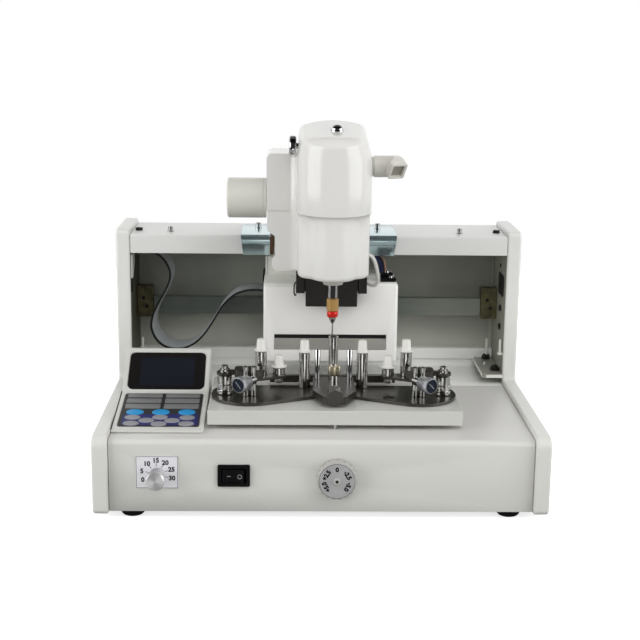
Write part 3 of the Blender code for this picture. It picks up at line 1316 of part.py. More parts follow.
def make_head_cover(head):
    """Open-backed head shell with a rounded bottom, a shadow step and a sloped top."""
    lower = HEAD_RADIUS - HEAD_STEP
    rings = []

    def flat_ring(radius, height):
        rings.append([(x, y, height) for x, y in head_outline(radius, HEAD_BACK)])

    def top_ring(radius, drop):
        ring = []
        for x, y in head_outline(radius, HEAD_BACK):
            ring.append((x, y, HEAD_CENTRE_TOP + head_top(x, y, HEAD_RADIUS) - drop))
        rings.append(ring)

    for step in range(ARC_STEPS + 1):
        turn = math.pi / 2 * step / ARC_STEPS
        flat_ring(lower - HEAD_BOTTOM_ROUND * (1 - math.sin(turn)),
                  HEAD_BOTTOM + HEAD_BOTTOM_ROUND * (1 - math.cos(turn)))
    flat_ring(lower, HEAD_STEP_Z)
    flat_ring(HEAD_RADIUS, HEAD_STEP_Z + HEAD_STEP_RAMP)
    for step in range(ARC_STEPS + 1):
        turn = math.pi / 2 * step / ARC_STEPS
        top_ring(HEAD_RADIUS - HEAD_TOP_ROUND * (1 - math.cos(turn)),
                 HEAD_TOP_ROUND * (1 - math.sin(turn)))
    for share in HEAD_RING_SHARES:
        top_ring(share * (HEAD_RADIUS - HEAD_TOP_ROUND), 0)
    centre = (CARRIAGE_X, deep(SPINDLE_DEPTH), 0)
    cover = loft("head_cover", rings, centre)
    cavity_bottom = HEAD_BOTTOM + HEAD_WALL
    cavity_top = HEAD_CENTRE_TOP - HEAD_CEILING
    cavity = plate("head_cavity", [head_outline(lower - HEAD_WALL, HEAD_BACK + OVERRUN)],
                   cavity_top - cavity_bottom,
                   (centre[0], centre[1], (cavity_top + cavity_bottom) / 2))
    cut(cover, cavity)
    nose_hole = MOTOR_NOSE_RADIUS + HEAD_NOSE_HOLE_CLEARANCE
    cut(cover, cylinder("nose_hole", nose_hole, (centre[0], centre[1], HEAD_BOTTOM - OVERRUN),
                        (centre[0], centre[1], cavity_bottom + OVERRUN)))
    seat = CAP_NUT_RADIUS + CAP_NUT_SEAT_CLEARANCE
    seat_z = nut_seat()
    cut(cover, cylinder("nut_seat", seat, (centre[0], centre[1], seat_z),
                        (centre[0], centre[1], HEAD_CENTRE_TOP + HEAD_CEILING)))
    stem_hole = SIDE_KNOB_STEM_RADIUS + SHAFT_HOLE_CLEARANCE
    knob_y = deep(SIDE_KNOB_DEPTH)
    cut(cover, cylinder("side_knob_hole", stem_hole, (centre[0] - HEAD_RADIUS - OVERRUN, knob_y,
                                                      SIDE_KNOB_Z),
                        (centre[0] - HEAD_RADIUS + SIDE_KNOB_STEM_LENGTH + CLEARANCE, knob_y,
                         SIDE_KNOB_Z)))
    lamp_hole = LAMP_STEM_RADIUS + SHAFT_HOLE_CLEARANCE
    lamp_y = deep(LAMP_DEPTH)
    cut(cover, cylinder("lamp_hole", lamp_hole, (centre[0] + HEAD_RADIUS + OVERRUN, lamp_y, LAMP_Z),
                        (centre[0] + HEAD_RADIUS - LAMP_STEM_LENGTH - CLEARANCE, lamp_y, LAMP_Z)))
    finish(cover, WHITE_PLASTIC, head, smooth=True)


def nut_seat():
    """Level of the flat seat sunk into the sloped top under the cap nut."""
    return HEAD_CENTRE_TOP + head_top(0, -CAP_NUT_RADIUS, HEAD_RADIUS)


def make_belt_housing(head):
    """Housing on the head's left flank, waisted over the beam and bulged at its foot."""
    inner = HEAD_RADIUS + CLEARANCE
    corners = [(-inner, BELT_HOUSING_BOTTOM), (-inner, BELT_HOUSING_TOP),
               (-BELT_HOUSING_LEFT, BELT_HOUSING_TOP), (-BELT_HOUSING_LEFT, BELT_HOUSING_SHOULDER),
               (-BELT_HOUSING_NOTCH, BELT_HOUSING_NOTCH_TOP),
               (-BELT_HOUSING_NOTCH, BELT_HOUSING_NOTCH_BOTTOM),
               (-BELT_HOUSING_BULGE, BELT_HOUSING_BULGE_Z),
               (-BELT_HOUSING_FOOT, BELT_HOUSING_BOTTOM)]
    radii = [0, 0, BELT_HOUSING_RADIUS, BELT_HOUSING_RADIUS, BELT_HOUSING_EDGE,
             BELT_HOUSING_EDGE, BELT_HOUSING_EDGE, BELT_HOUSING_RADIUS]
    centre_y = deep(BELT_HOUSING_FRONT_DEPTH + BELT_HOUSING_DEPTH / 2)
    housing = plate("belt_housing", [rounded(corners, radii, 4)], BELT_HOUSING_DEPTH,
                    (CARRIAGE_X, centre_y, 0), FACING_FRONT)
    round_edges(housing, BELT_HOUSING_EDGE)
    finish(housing, WHITE_PLASTIC, head)


def make_side_motor(head):
    """Round motor housing that stands out to the left of the belt housing."""
    seat = CARRIAGE_X - BELT_HOUSING_LEFT - CLEARANCE
    edge = SIDE_MOTOR_RADIUS - SIDE_MOTOR_ROUND
    profile = [(0, SIDE_MOTOR_LENGTH)]
    for step in range(ARC_STEPS + 1):
        turn = math.pi / 2 * step / ARC_STEPS
        profile.append((edge + SIDE_MOTOR_ROUND * math.sin(turn),
                        SIDE_MOTOR_LENGTH - SIDE_MOTOR_ROUND * (1 - math.cos(turn))))
    profile += [(SIDE_MOTOR_RADIUS, 0), (0, 0)]
    motor = turned("side_motor", profile, (seat, deep(SIDE_MOTOR_DEPTH), SIDE_MOTOR_Z),
                   POINTING_LEFT, FINE_STEPS)
    finish(motor, WHITE_PLASTIC, head, smooth=True)


def make_slide_plate(head):
    front = deep(HEAD_BACK_DEPTH) + CLEARANCE
    slider = box("slide_plate", (CARRIAGE_X - SLIDE_PLATE_HALF_WIDTH, front, SLIDE_PLATE_BOTTOM),
                 (CARRIAGE_X + SLIDE_PLATE_HALF_WIDTH, front + SLIDE_PLATE_THICKNESS,
                  SLIDE_PLATE_TOP), SLIDE_PLATE_EDGE, 1)
    finish(slider, BLACK_METAL, head)


def make_spindle_motor(head):
    """Motor inside the head cover, held by a saddle on the slide plate."""
    bore = SHAFT_RADIUS + MOTOR_BORE_CLEARANCE
    bore_top = SHAFT_TOP + CLEARANCE
    profile = [(0, MOTOR_TOP), (MOTOR_RADIUS, MOTOR_TOP), (MOTOR_RADIUS, MOTOR_BOTTOM),
               (MOTOR_NOSE_RADIUS, MOTOR_BOTTOM), (MOTOR_NOSE_RADIUS, MOTOR_NOSE_BOTTOM),
               (bore, MOTOR_NOSE_BOTTOM), (bore, bore_top), (0, bore_top)]
    axis_y = deep(SPINDLE_DEPTH)
    motor = turned("spindle_motor", profile, (CARRIAGE_X, axis_y, 0))
    fuse(motor, box("motor_saddle", (CARRIAGE_X - MOTOR_SADDLE_HALF_WIDTH, axis_y + MOTOR_RADIUS / 2,
                                     MOTOR_SADDLE_BOTTOM),
                    (CARRIAGE_X + MOTOR_SADDLE_HALF_WIDTH, deep(HEAD_BACK_DEPTH),
                     MOTOR_SADDLE_TOP)))
    finish(motor, STEEL, head)


def make_cap_nut(head):
    seat = nut_seat() + CLEARANCE
    profile = [(0, CAP_NUT_HEIGHT)]
    dome = CAP_NUT_HEIGHT - CAP_NUT_FLANGE
    for step in range(1, ARC_STEPS + 1):
        turn = math.pi / 2 * step / ARC_STEPS
        profile.append((CAP_NUT_DOME_RADIUS * math.sin(turn),
                        CAP_NUT_FLANGE + dome * math.cos(turn)))
    profile += [(CAP_NUT_RADIUS, CAP_NUT_FLANGE), (CAP_NUT_RADIUS, 0), (0, 0)]
    nut = turned("cap_nut", profile, (CARRIAGE_X, deep(SPINDLE_DEPTH), seat))
    finish(nut, CHROME, head, smooth=True)


def make_side_knob(head):
    """Chrome clamping knob on the head's left flank."""
    seat = (CARRIAGE_X - HEAD_RADIUS - CLEARANCE, deep(SIDE_KNOB_DEPTH), SIDE_KNOB_Z)
    pivot = joint_empty("side_knob_axis", seat, parent=head)
    edge = SIDE_KNOB_RADIUS - SIDE_KNOB_ROUND
    profile = [(0, SIDE_KNOB_LENGTH), (edge, SIDE_KNOB_LENGTH),
               (SIDE_KNOB_RADIUS, SIDE_KNOB_LENGTH - SIDE_KNOB_ROUND), (SIDE_KNOB_RADIUS, 0),
               (SIDE_KNOB_STEM_RADIUS, 0), (SIDE_KNOB_STEM_RADIUS, -SIDE_KNOB_STEM_LENGTH),
               (0, -SIDE_KNOB_STEM_LENGTH)]
    knob = turned("side_knob", profile, seat, POINTING_LEFT)
    finish(knob, CHROME, pivot, smooth=True)


def make_lamp_arm(head):
    """Short arm on the head's right flank that ends in a square lamp mouth."""
    seat = Vector((CARRIAGE_X + HEAD_RADIUS + CLEARANCE, deep(LAMP_DEPTH), LAMP_Z))
    pivot = joint_empty("lamp_arm_axis", seat, parent=head)
    edge = LAMP_RADIUS - LAMP_ROUND
    profile = [(0, LAMP_LENGTH)]
    for step in range(ARC_STEPS + 1):
        turn = math.pi / 2 * step / ARC_STEPS
        profile.append((edge + LAMP_ROUND * math.sin(turn),
                        LAMP_LENGTH - LAMP_ROUND * (1 - math.cos(turn))))
    profile += [(LAMP_RADIUS, 0), (LAMP_STEM_RADIUS, 0), (LAMP_STEM_RADIUS, -LAMP_STEM_LENGTH),
                (0, -LAMP_STEM_LENGTH)]
    arm = turned("lamp_arm", profile, seat, POINTING_RIGHT)
    tilt = (math.pi / 2 + LAMP_SPOUT_ANGLE, 0, 0)
    outward = Vector((0, -math.cos(LAMP_SPOUT_ANGLE), -math.sin(LAMP_SPOUT_ANGLE)))
    elbow = seat + Vector((LAMP_LENGTH - LAMP_SPOUT_BACK, 0, 0))
    side = LAMP_SPOUT_SIDE
    spout = plate("lamp_spout", [rounded_rectangle(side, side, LAMP_MOUTH_WALL)], LAMP_SPOUT_REACH,
                  elbow + outward * (LAMP_SPOUT_REACH / 2), tilt)
    fuse(arm, spout)
    mouth = side - 2 * LAMP_MOUTH_WALL
    tip = elbow + outward * LAMP_SPOUT_REACH
    cut(arm, plate("lamp_mouth", [rectangle(mouth, mouth)], 2 * LAMP_MOUTH_DEPTH, tip, tilt))
    finish(arm, WHITE_PLASTIC, pivot)


def make_head_cable(head):
    """White lead that leaves the head's right flank and loops back to the slide guide."""
    route = [(CARRIAGE_X + across, deep(depth), height) for across, depth, height in HEAD_CABLE_ROUTE]
    cable = tube("head_cable", smooth_route(route, 2), HEAD_CABLE_RADIUS)
    finish(cable, WHITE_CABLE, head, smooth=True)


def make_spindle(spindle):
    """Chrome spindle shaft, brass collet nut and the drill bit with its depth ring."""
    axis_y = deep(SPINDLE_DEPTH)
    shaft = cylinder("spindle_shaft", SHAFT_RADIUS, (CARRIAGE_X, axis_y, SHAFT_BOTTOM),
                     (CARRIAGE_X, axis_y, SHAFT_TOP))
    finish(shaft, CHROME, spindle, smooth=True)
    nut = cylinder("collet_nut", COLLET_RADIUS, (CARRIAGE_X, axis_y, COLLET_BOTTOM),
                   (CARRIAGE_X, axis_y, COLLET_TOP), sides=COLLET_SIDES)
    bore = BIT_SHANK_RADIUS + CLEARANCE
    cut(nut, cylinder("collet_bore", bore, (CARRIAGE_X, axis_y, COLLET_BOTTOM - OVERRUN),
                      (CARRIAGE_X, axis_y, COLLET_TOP + OVERRUN), sides=16))
    finish(nut, BRASS, spindle)
    ring_bottom = BIT_RING_TOP - BIT_RING_HEIGHT
    cone_bottom = ring_bottom - BIT_CONE_LENGTH
    tip = cone_bottom - BIT_LENGTH
    profile = [(0, BIT_RING_TOP + BIT_SHANK_LENGTH), (BIT_SHANK_RADIUS, BIT_RING_TOP + BIT_SHANK_LENGTH),
               (BIT_SHANK_RADIUS, BIT_RING_TOP), (BIT_RING_RADIUS, BIT_RING_TOP),
               (BIT_RING_RADIUS, ring_bottom + BIT_RING_ROUND),
               (BIT_RING_RADIUS - BIT_RING_ROUND, ring_bottom), (BIT_SHANK_RADIUS, ring_bottom),
               (BIT_RADIUS, cone_bottom), (BIT_RADIUS, tip + BIT_RADIUS), (0, tip)]
    bit = turned("drill_bit", profile, (CARRIAGE_X, axis_y, 0), steps=16)
    finish(bit, STEEL, spindle, smooth=True)


def make_table(table):
    """White table plate with its sliding shoe and drive pin underneath."""
    left = TABLE_X - TABLE_HALF_WIDTH
    right = TABLE_X + TABLE_HALF_WIDTH
    front = deep(TABLE_FRONT_DEPTH)
    top = box("table_plate", (left, front, TABLE_BOTTOM), (right, front + TABLE_DEPTH, TABLE_TOP),
              TABLE_EDGE)
    shoe_front = deep(TABLE_SHOE_FRONT_DEPTH)
    rest = BASE_TOP + CLEARANCE
    overlap = TABLE_BOTTOM + TABLE_THICKNESS / 2
    fuse(top, box("table_shoe", (TABLE_X - TABLE_SHOE_HALF_WIDTH, shoe_front, rest),
                  (TABLE_X + TABLE_SHOE_HALF_WIDTH, shoe_front + TABLE_SHOE_DEPTH, overlap)))
    pin_y = front + TABLE_PIN_INSET
    fuse(top, cylinder("table_pin", TABLE_PIN_RADIUS, (TABLE_X, pin_y, rest),
                       (TABLE_X, pin_y, overlap), sides=10))
    finish(top, WHITE_PAINT, table)


def wing_outline(side):
    """Plan of one black wing: a round lobe outside that narrows to the centre block."""
    lobe = (WING_LOBE_OFFSET, deep(WING_LOBE_DEPTH))
    back = deep(WING_BACK_DEPTH)
    neck = deep(WING_NECK_FRONT_DEPTH)
    reach = Vector((WING_INNER, neck)) - Vector(lobe)
    start = math.atan2(reach.y, reach.x) + math.acos(WING_LOBE_RADIUS / reach.length)
    end = math.asin((back - WING_BACK_RADIUS - lobe[1]) / WING_LOBE_RADIUS)
    points = [(WING_INNER, back), (WING_INNER, neck)]
    sweep = (end - start) % (2 * math.pi)
    for step in range(WING_ARC_STEPS + 1):
        turn = start + sweep * step / WING_ARC_STEPS
        points.append((lobe[0] + WING_LOBE_RADIUS * math.cos(turn),
                       lobe[1] + WING_LOBE_RADIUS * math.sin(turn)))
    edge = points[-1]
    corner = edge[0] - WING_BACK_RADIUS
    for step in range(1, ARC_STEPS + 1):
        turn = math.pi / 2 * step / ARC_STEPS
        points.append((corner + WING_BACK_RADIUS * math.cos(turn),
                       back - WING_BACK_RADIUS + WING_BACK_RADIUS * math.sin(turn)))
    return [(side * x, y) for x, y in points]


def make_wing(name, side, table):
    outlines = [wing_outline(side)]
    if side > 0:
        outlines.append(circle(WING_HOLE_RADIUS, (WING_HOLE_OFFSET, deep(WING_HOLE_DEPTH)), 20))
    wing = plate(name, outlines, WING_THICKNESS, (TABLE_X, 0, (WING_BOTTOM + WING_TOP) / 2))
    finish(wing, BLACK_METAL, table)


def make_centre_block(table):
    """Black six-sided block with its front boss, rear crossbar and two side rods."""
    corners = [(-BLOCK_FRONT_HALF_WIDTH, deep(BLOCK_FRONT_DEPTH)),
               (BLOCK_FRONT_HALF_WIDTH, deep(BLOCK_FRONT_DEPTH)),
               (BLOCK_HALF_WIDTH, deep(BLOCK_WIDE_DEPTH)),
               (BLOCK_BACK_HALF_WIDTH, deep(BLOCK_BACK_DEPTH)),
               (-BLOCK_BACK_HALF_WIDTH, deep(BLOCK_BACK_DEPTH)),
               (-BLOCK_HALF_WIDTH, deep(BLOCK_WIDE_DEPTH))]
    block = plate("centre_block", [corners], BLOCK_THICKNESS,
                  (TABLE_X, 0, (BLOCK_BOTTOM + BLOCK_TOP) / 2))
    round_edges(block, BLOCK_CHAMFER, 1)
    boss_front = deep(BLOCK_FRONT_DEPTH) - BOSS_OVERHANG
    boss_z = BLOCK_BOTTOM + BOSS_RISE + CLEARANCE
    fuse(block, cylinder("block_boss", BOSS_RADIUS, (TABLE_X, boss_front, boss_z),
                         (TABLE_X, boss_front + BOSS_LENGTH, boss_z), sides=BOSS_SIDES))
    bar_back = deep(CROSSBAR_DEPTH) + CROSSBAR_THICKNESS
    fuse(block, box("block_spine", (TABLE_X - SPINE_HALF_WIDTH, deep(BLOCK_BACK_DEPTH) - OVERRUN,
                                    BLOCK_BOTTOM + BLOCK_CHAMFER),
                    (TABLE_X + SPINE_HALF_WIDTH, bar_back - OVERRUN, BLOCK_TOP - BLOCK_CHAMFER)))
    fuse(block, box("block_crossbar", (TABLE_X - CROSSBAR_HALF_WIDTH, deep(CROSSBAR_DEPTH),
                                       BLOCK_BOTTOM),
                    (TABLE_X + CROSSBAR_HALF_WIDTH, bar_back, BLOCK_TOP)))
    for side in (-1, 1):
        rod_x = TABLE_X + side * SIDE_ROD_OFFSET
        rod_y = deep(SIDE_ROD_DEPTH)
        fuse(block, cylinder("block_rod_%d" % side, SIDE_ROD_RADIUS,
                             (rod_x, rod_y, BLOCK_BOTTOM + BLOCK_THICKNESS / 2),
                             (rod_x, rod_y, SIDE_ROD_TOP), sides=16))
    finish(block, BLACK_METAL, table)


def make_centre_post(table):
    """Tall chrome post with an open bore under the drill bit."""
    bottom = BLOCK_TOP + CLEARANCE
    floor = CENTRE_POST_TOP - CENTRE_POST_BORE_DEPTH
    edge = CENTRE_POST_RADIUS - CENTRE_POST_CHAMFER
    profile = [(0, floor), (CENTRE_POST_BORE, floor), (CENTRE_POST_BORE, CENTRE_POST_TOP),
               (edge, CENTRE_POST_TOP), (CENTRE_POST_RADIUS, CENTRE_POST_TOP - CENTRE_POST_CHAMFER),
               (CENTRE_POST_RADIUS, bottom), (0, bottom)]
    post = turned("centre_post", profile, (TABLE_X, deep(SPINDLE_DEPTH), 0))
    finish(post, CHROME, table, smooth=True)


def make_thumb_screw(table):
    """Brass thumb screw with a knurled head on a slim stem."""
    bottom = BLOCK_TOP + CLEARANCE
    place = (TABLE_X, deep(THUMB_SCREW_DEPTH), 0)
    pivot = joint_empty("thumb_screw_axis", place, parent=table)
    edge = THUMB_SCREW_RADIUS - THUMB_SCREW_CHAMFER
    profile = [(0, THUMB_SCREW_TOP), (edge, THUMB_SCREW_TOP),
               (THUMB_SCREW_RADIUS, THUMB_SCREW_TOP - THUMB_SCREW_CHAMFER),
               (THUMB_SCREW_RADIUS, THUMB_SCREW_STEM_TOP),
               (THUMB_SCREW_STEM_RADIUS, THUMB_SCREW_STEM_TOP), (THUMB_SCREW_STEM_RADIUS, bottom),
               (0, bottom)]
    screw = turned("thumb_screw", profile, place)
    finish(screw, BRASS, pivot, smooth=True)


def post_profile(bottom, shoulder, radius, flange):
    """Chrome post with a flanged and tapered cap, as radii and heights."""
    flange_top = shoulder + POST_FLANGE
    top = flange_top + POST_CAP_HEIGHT
    return [(0, top), (POST_CAP_TIP_RADIUS - POST_CAP_ROUND, top),
            (POST_CAP_TIP_RADIUS, top - POST_CAP_ROUND), (POST_CAP_RADIUS, flange_top),
            (flange, flange_top), (flange, shoulder), (radius, shoulder), (radius, bottom),
            (0, bottom)]


def make_posts(table, side, label, arm):
    """Inner post on the wing and outer post on the swing arm of one side."""
    inner_x = TABLE_X + side * INNER_POST_OFFSET
    profile = post_profile(WING_TOP + CLEARANCE, INNER_POST_SHOULDER, POST_RADIUS,
                           POST_FLANGE_RADIUS)
    inner = turned(label + "_inner_post", profile, (inner_x, deep(INNER_POST_DEPTH), 0))
    finish(inner, CHROME, table, smooth=True)
    outer_x = TABLE_X + side * OUTER_POST_OFFSET
    profile = post_profile(ARM_TOP + CLEARANCE, OUTER_POST_SHOULDER, POST_RADIUS,
                           POST_FLANGE_RADIUS)
    outer = turned(label + "_outer_post", profile, (outer_x, deep(OUTER_POST_DEPTH), 0))
    finish(outer, CHROME, arm, smooth=True)


def make_swing_arm(side, label, arm):
    """Black swing arm with the short capped post at its end and a nut below."""
    pivot = (ARM_PIVOT_OFFSET, deep(ARM_PIVOT_DEPTH))
    centres = [pivot, (OUTER_POST_OFFSET, deep(OUTER_POST_DEPTH)),
               (SHORT_POST_OFFSET, deep(SHORT_POST_DEPTH))]
    outline = [(side * x, y) for x, y in hull(centres, ARM_ROUND)]
    bore = [(side * x, y) for x, y in circle(ARM_BORE, pivot, 16)]
    swing = plate(label + "_swing_arm", [outline, bore], ARM_THICKNESS,
                  (TABLE_X, 0, (ARM_BOTTOM + ARM_TOP) / 2))
    post_x = TABLE_X + side * SHORT_POST_OFFSET
    post_y = deep(SHORT_POST_DEPTH)
    level = (ARM_BOTTOM + ARM_TOP) / 2
    profile = post_profile(level, SHORT_POST_SHOULDER, SHORT_POST_RADIUS, SHORT_POST_FLANGE_RADIUS)
    fuse(swing, turned(label + "_short_post", profile, (post_x, post_y, 0), steps=16))
    fuse(swing, cylinder(label + "_arm_nut", SHORT_POST_NUT_RADIUS,
                         (post_x, post_y, ARM_BOTTOM - SHORT_POST_NUT_DROP),
                         (post_x, post_y, level), sides=6))
    finish(swing, BLACK_METAL, arm)


def thimble_place(side):
    """Seat of the micrometer on its bracket and the outward direction of its axis."""
    outward = Vector((side * math.sin(THIMBLE_ANGLE), -math.cos(THIMBLE_ANGLE), 0))
    face = Vector((TABLE_X + side * THIMBLE_OFFSET, deep(THIMBLE_DEPTH), THIMBLE_Z))
    return face - outward * THIMBLE_REACH, outward


def stack_profile():
    """Slim screw that carries a stack of thumb nuts with necks between them."""
    profile = [(0, STACK_HEIGHT), (STACK_TIP_RADIUS, STACK_HEIGHT)]
    above = STACK_TIP_RADIUS
    for low, high in reversed(STACK_RING_SHARES):
        profile += [(above, high * STACK_HEIGHT), (STACK_RING_RADIUS, high * STACK_HEIGHT),
                    (STACK_RING_RADIUS, low * STACK_HEIGHT)]
        above = STACK_NECK_RADIUS
        profile.append((above, low * STACK_HEIGHT))
    profile.append((0, 0))
    return profile


def make_clamp_block(side, label, table):
    """Bracket, lever, pivot pin, spring stack and micrometer barrel of one side."""
    seat = WING_TOP + CLEARANCE

    def across(near, far):
        ends = (TABLE_X + side * near, TABLE_X + side * far)
        return min(ends), max(ends)

    low_x, high_x = across(CLAMP_BRACKET_INNER, CLAMP_BRACKET_INNER + CLAMP_BRACKET_WIDTH)
    bracket_y = deep(CLAMP_BRACKET_DEPTH)
    block = box(label + "_clamp_block", (low_x, bracket_y, seat),
                (high_x, bracket_y + CLAMP_BRACKET_THICKNESS, CLAMP_BRACKET_TOP))
    low_x, high_x = across(LEVER_INNER, LEVER_INNER + LEVER_WIDTH)
    lever_y = deep(LEVER_FRONT_DEPTH)
    fuse(block, box(label + "_lever", (low_x, lever_y, LEVER_BOTTOM),
                    (high_x, lever_y + LEVER_DEPTH, LEVER_BOTTOM + LEVER_THICKNESS)))
    for index, share in enumerate(CLAMP_PIN_SHARES):
        pin_x = TABLE_X + side * (CLAMP_BRACKET_INNER + share * CLAMP_BRACKET_WIDTH)
        fuse(block, cylinder("%s_clamp_pin_%d" % (label, index), CLAMP_PIN_RADIUS,
                             (pin_x, bracket_y, seat), (pin_x, bracket_y, CLAMP_PIN_TOP), sides=10))
    pivot_x = TABLE_X + side * ARM_PIVOT_OFFSET
    pivot_y = deep(ARM_PIVOT_DEPTH)
    fuse(block, cylinder(label + "_pivot_pin", PIVOT_PIN_RADIUS, (pivot_x, pivot_y, seat + OVERRUN),
                         (pivot_x, pivot_y, LEVER_BOTTOM + LEVER_THICKNESS / 2), sides=12))
    fuse(block, cylinder(label + "_pivot_foot", PIVOT_FOOT_RADIUS, (pivot_x, pivot_y, seat),
                         (pivot_x, pivot_y, ARM_BOTTOM - CLEARANCE), sides=16))
    low_x, high_x = across(LEVER_INNER + LEVER_WIDTH - OVERRUN, STACK_OFFSET)
    link_y = deep(STACK_DEPTH)
    fuse(block, box(label + "_stack_link", (low_x, link_y - STACK_LINK_HALF_WIDTH,
                                            STACK_LINK_BOTTOM),
                    (high_x, link_y + STACK_LINK_HALF_WIDTH,
                     STACK_LINK_BOTTOM + STACK_LINK_THICKNESS)))
    stack_x = TABLE_X + side * STACK_OFFSET
    fuse(block, turned(label + "_stack", stack_profile(), (stack_x, link_y, seat), steps=14))
    place, outward = thimble_place(side)
    barrel_end = THIMBLE_REACH - THIMBLE_KNOB_LENGTH - CLEARANCE
    fuse(block, cylinder(label + "_barrel", BARREL_RADIUS, place - outward * BARREL_TAIL,
                         place + outward * (barrel_end - THIMBLE_CHAMFER), sides=16))
    finish(block, BLACK_METAL, table)


def make_thimble(side, label, table):
    """Micrometer thimble that turns on the clamp block's barrel."""
    place, outward = thimble_place(side)
    turn = outward.to_track_quat("Z", "Y").to_euler()
    pivot = joint_empty(label + "_thimble_axis", place, parent=table)
    end = THIMBLE_REACH
    shoulder = end - THIMBLE_KNOB_LENGTH
    skirt = end - THIMBLE_LENGTH
    profile = [(0, end), (THIMBLE_KNOB_RADIUS - THIMBLE_CHAMFER, end),
               (THIMBLE_KNOB_RADIUS, end - THIMBLE_CHAMFER), (THIMBLE_KNOB_RADIUS, shoulder),
               (THIMBLE_RADIUS, shoulder - THIMBLE_CHAMFER), (THIMBLE_RADIUS, skirt),
               (THIMBLE_BORE, skirt), (THIMBLE_BORE, skirt + THIMBLE_BORE_DEPTH),
               (0, skirt + THIMBLE_BORE_DEPTH)]
    thimble = turned(label + "_thimble", profile, place, turn)
    finish(thimble, STEEL, pivot, smooth=True)


def build():
    for name, side in (("left_side_cover", -1), ("right_side_cover", 1)):
        make_side_cover(name, side)
    make_base_housing()
    make_floor_plate()
    foot_x = INNER_HALF_WIDTH - FOOT_SIDE_INSET
    for end, depth in (("front", FOOT_FRONT_DEPTH), ("rear", FOOT_REAR_DEPTH)):
        make_foot("foot_%s_left" % end, -foot_x, depth)
        make_foot("foot_%s_right" % end, foot_x, depth)
    make_top_beam()
    make_rear_wall()
    make_beam_hook("left_beam_hook", HOOK_LEFT_X)
    make_beam_hook("right_beam_hook", HOOK_RIGHT_X)
    make_rail()
    make_corner_plate()
    make_console()
    make_speed_control()
    make_switch()
    make_offset_dial()
    make_power_inlet()
    make_circuit_board()
    make_ribbon_cable()
    axis_y = deep(SPINDLE_DEPTH)
    carriage = joint_empty("carriage_slide", (CARRIAGE_X, deep(RAIL_DEPTH), RAIL_BOTTOM))
    make_column(carriage)
    make_runner(carriage)
    make_terminal_block(carriage)
    make_slide_guide(carriage)
    head = joint_empty("head_slide", (CARRIAGE_X, deep(HEAD_BACK_DEPTH), HEAD_BOTTOM),
                       parent=carriage)
    make_head_cover(head)
    make_belt_housing(head)
    make_side_motor(head)
    make_slide_plate(head)
    make_spindle_motor(head)
    make_cap_nut(head)
    make_side_knob(head)
    make_lamp_arm(head)
    make_head_cable(head)
    spindle = joint_empty("spindle_axis", (CARRIAGE_X, axis_y, SHAFT_BOTTOM), parent=head)
    make_spindle(spindle)
    table = joint_empty("table_slide", (TABLE_X, axis_y, TABLE_BOTTOM))
    make_table(table)
    make_centre_block(table)
    make_centre_post(table)
    make_thumb_screw(table)
    for label, side in (("left", -1), ("right", 1)):
        make_wing(label + "_wing_plate", side, table)
        pivot = (TABLE_X + side * ARM_PIVOT_OFFSET, deep(ARM_PIVOT_DEPTH), ARM_BOTTOM)
        arm = joint_empty(label + "_arm_axis", pivot, parent=table)
        make_posts(table, side, label, arm)
        make_swing_arm(side, label, arm)
        make_clamp_block(side, label, table)
        make_thimble(side, label, table)


clear_scene()
PARTS = new_collection("lens_drilling_machine")
CUTTERS = new_collection("cutters")
build()
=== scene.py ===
import bmesh
import bpy
import numpy as np
from mathutils import Matrix, Vector


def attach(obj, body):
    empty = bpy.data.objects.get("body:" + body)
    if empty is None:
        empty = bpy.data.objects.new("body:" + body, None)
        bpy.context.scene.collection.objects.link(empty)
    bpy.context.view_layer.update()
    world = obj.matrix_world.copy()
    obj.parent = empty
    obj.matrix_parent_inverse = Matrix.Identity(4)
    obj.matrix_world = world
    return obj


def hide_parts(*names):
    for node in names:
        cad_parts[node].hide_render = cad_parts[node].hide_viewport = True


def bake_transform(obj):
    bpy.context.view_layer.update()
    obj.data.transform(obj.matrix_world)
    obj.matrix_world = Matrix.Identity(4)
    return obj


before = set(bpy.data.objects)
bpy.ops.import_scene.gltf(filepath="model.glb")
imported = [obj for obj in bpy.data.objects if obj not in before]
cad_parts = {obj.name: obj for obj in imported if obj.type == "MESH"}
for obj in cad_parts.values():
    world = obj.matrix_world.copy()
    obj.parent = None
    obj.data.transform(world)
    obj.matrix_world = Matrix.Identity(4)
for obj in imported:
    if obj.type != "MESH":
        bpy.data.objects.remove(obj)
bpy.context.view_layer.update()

# ---------------------------------------------------------------------------------------------
# Studio. The machine stands on white paper. Two big soft panels at its sides give most of the
# light. Softer lamps above, behind and in front stay out of mirror images. The room in front is
# dark and the backdrop is white, so that bright metal shows dark bands between light ones.


class Value:
    """A number on a shader socket. Sums, products and comparisons add the Math nodes for them."""

    def __init__(self, nodes, socket):
        self.nodes = nodes
        self.socket = socket

    def worked(self, operation, first, second=0.0):
        return self.nodes.node("ShaderNodeMath", {"operation": operation}, {0: first, 1: second})

    def __add__(self, other):
        return self.worked("ADD", self, other)

    def __radd__(self, other):
        return self.worked("ADD", other, self)

    def __sub__(self, other):
        return self.worked("SUBTRACT", self, other)

    def __rsub__(self, other):
        return self.worked("SUBTRACT", other, self)

    def __mul__(self, other):
        return self.worked("MULTIPLY", self, other)

    def __gt__(self, other):
        return self.worked("GREATER_THAN", self, other)

    def __lt__(self, other):
        return self.worked("LESS_THAN", self, other)

    def wave(self, turns):
        """Sine of the number times turns full circles, from -1 to 1."""
        return self.worked("SINE", self * (turns * 2 * np.pi))


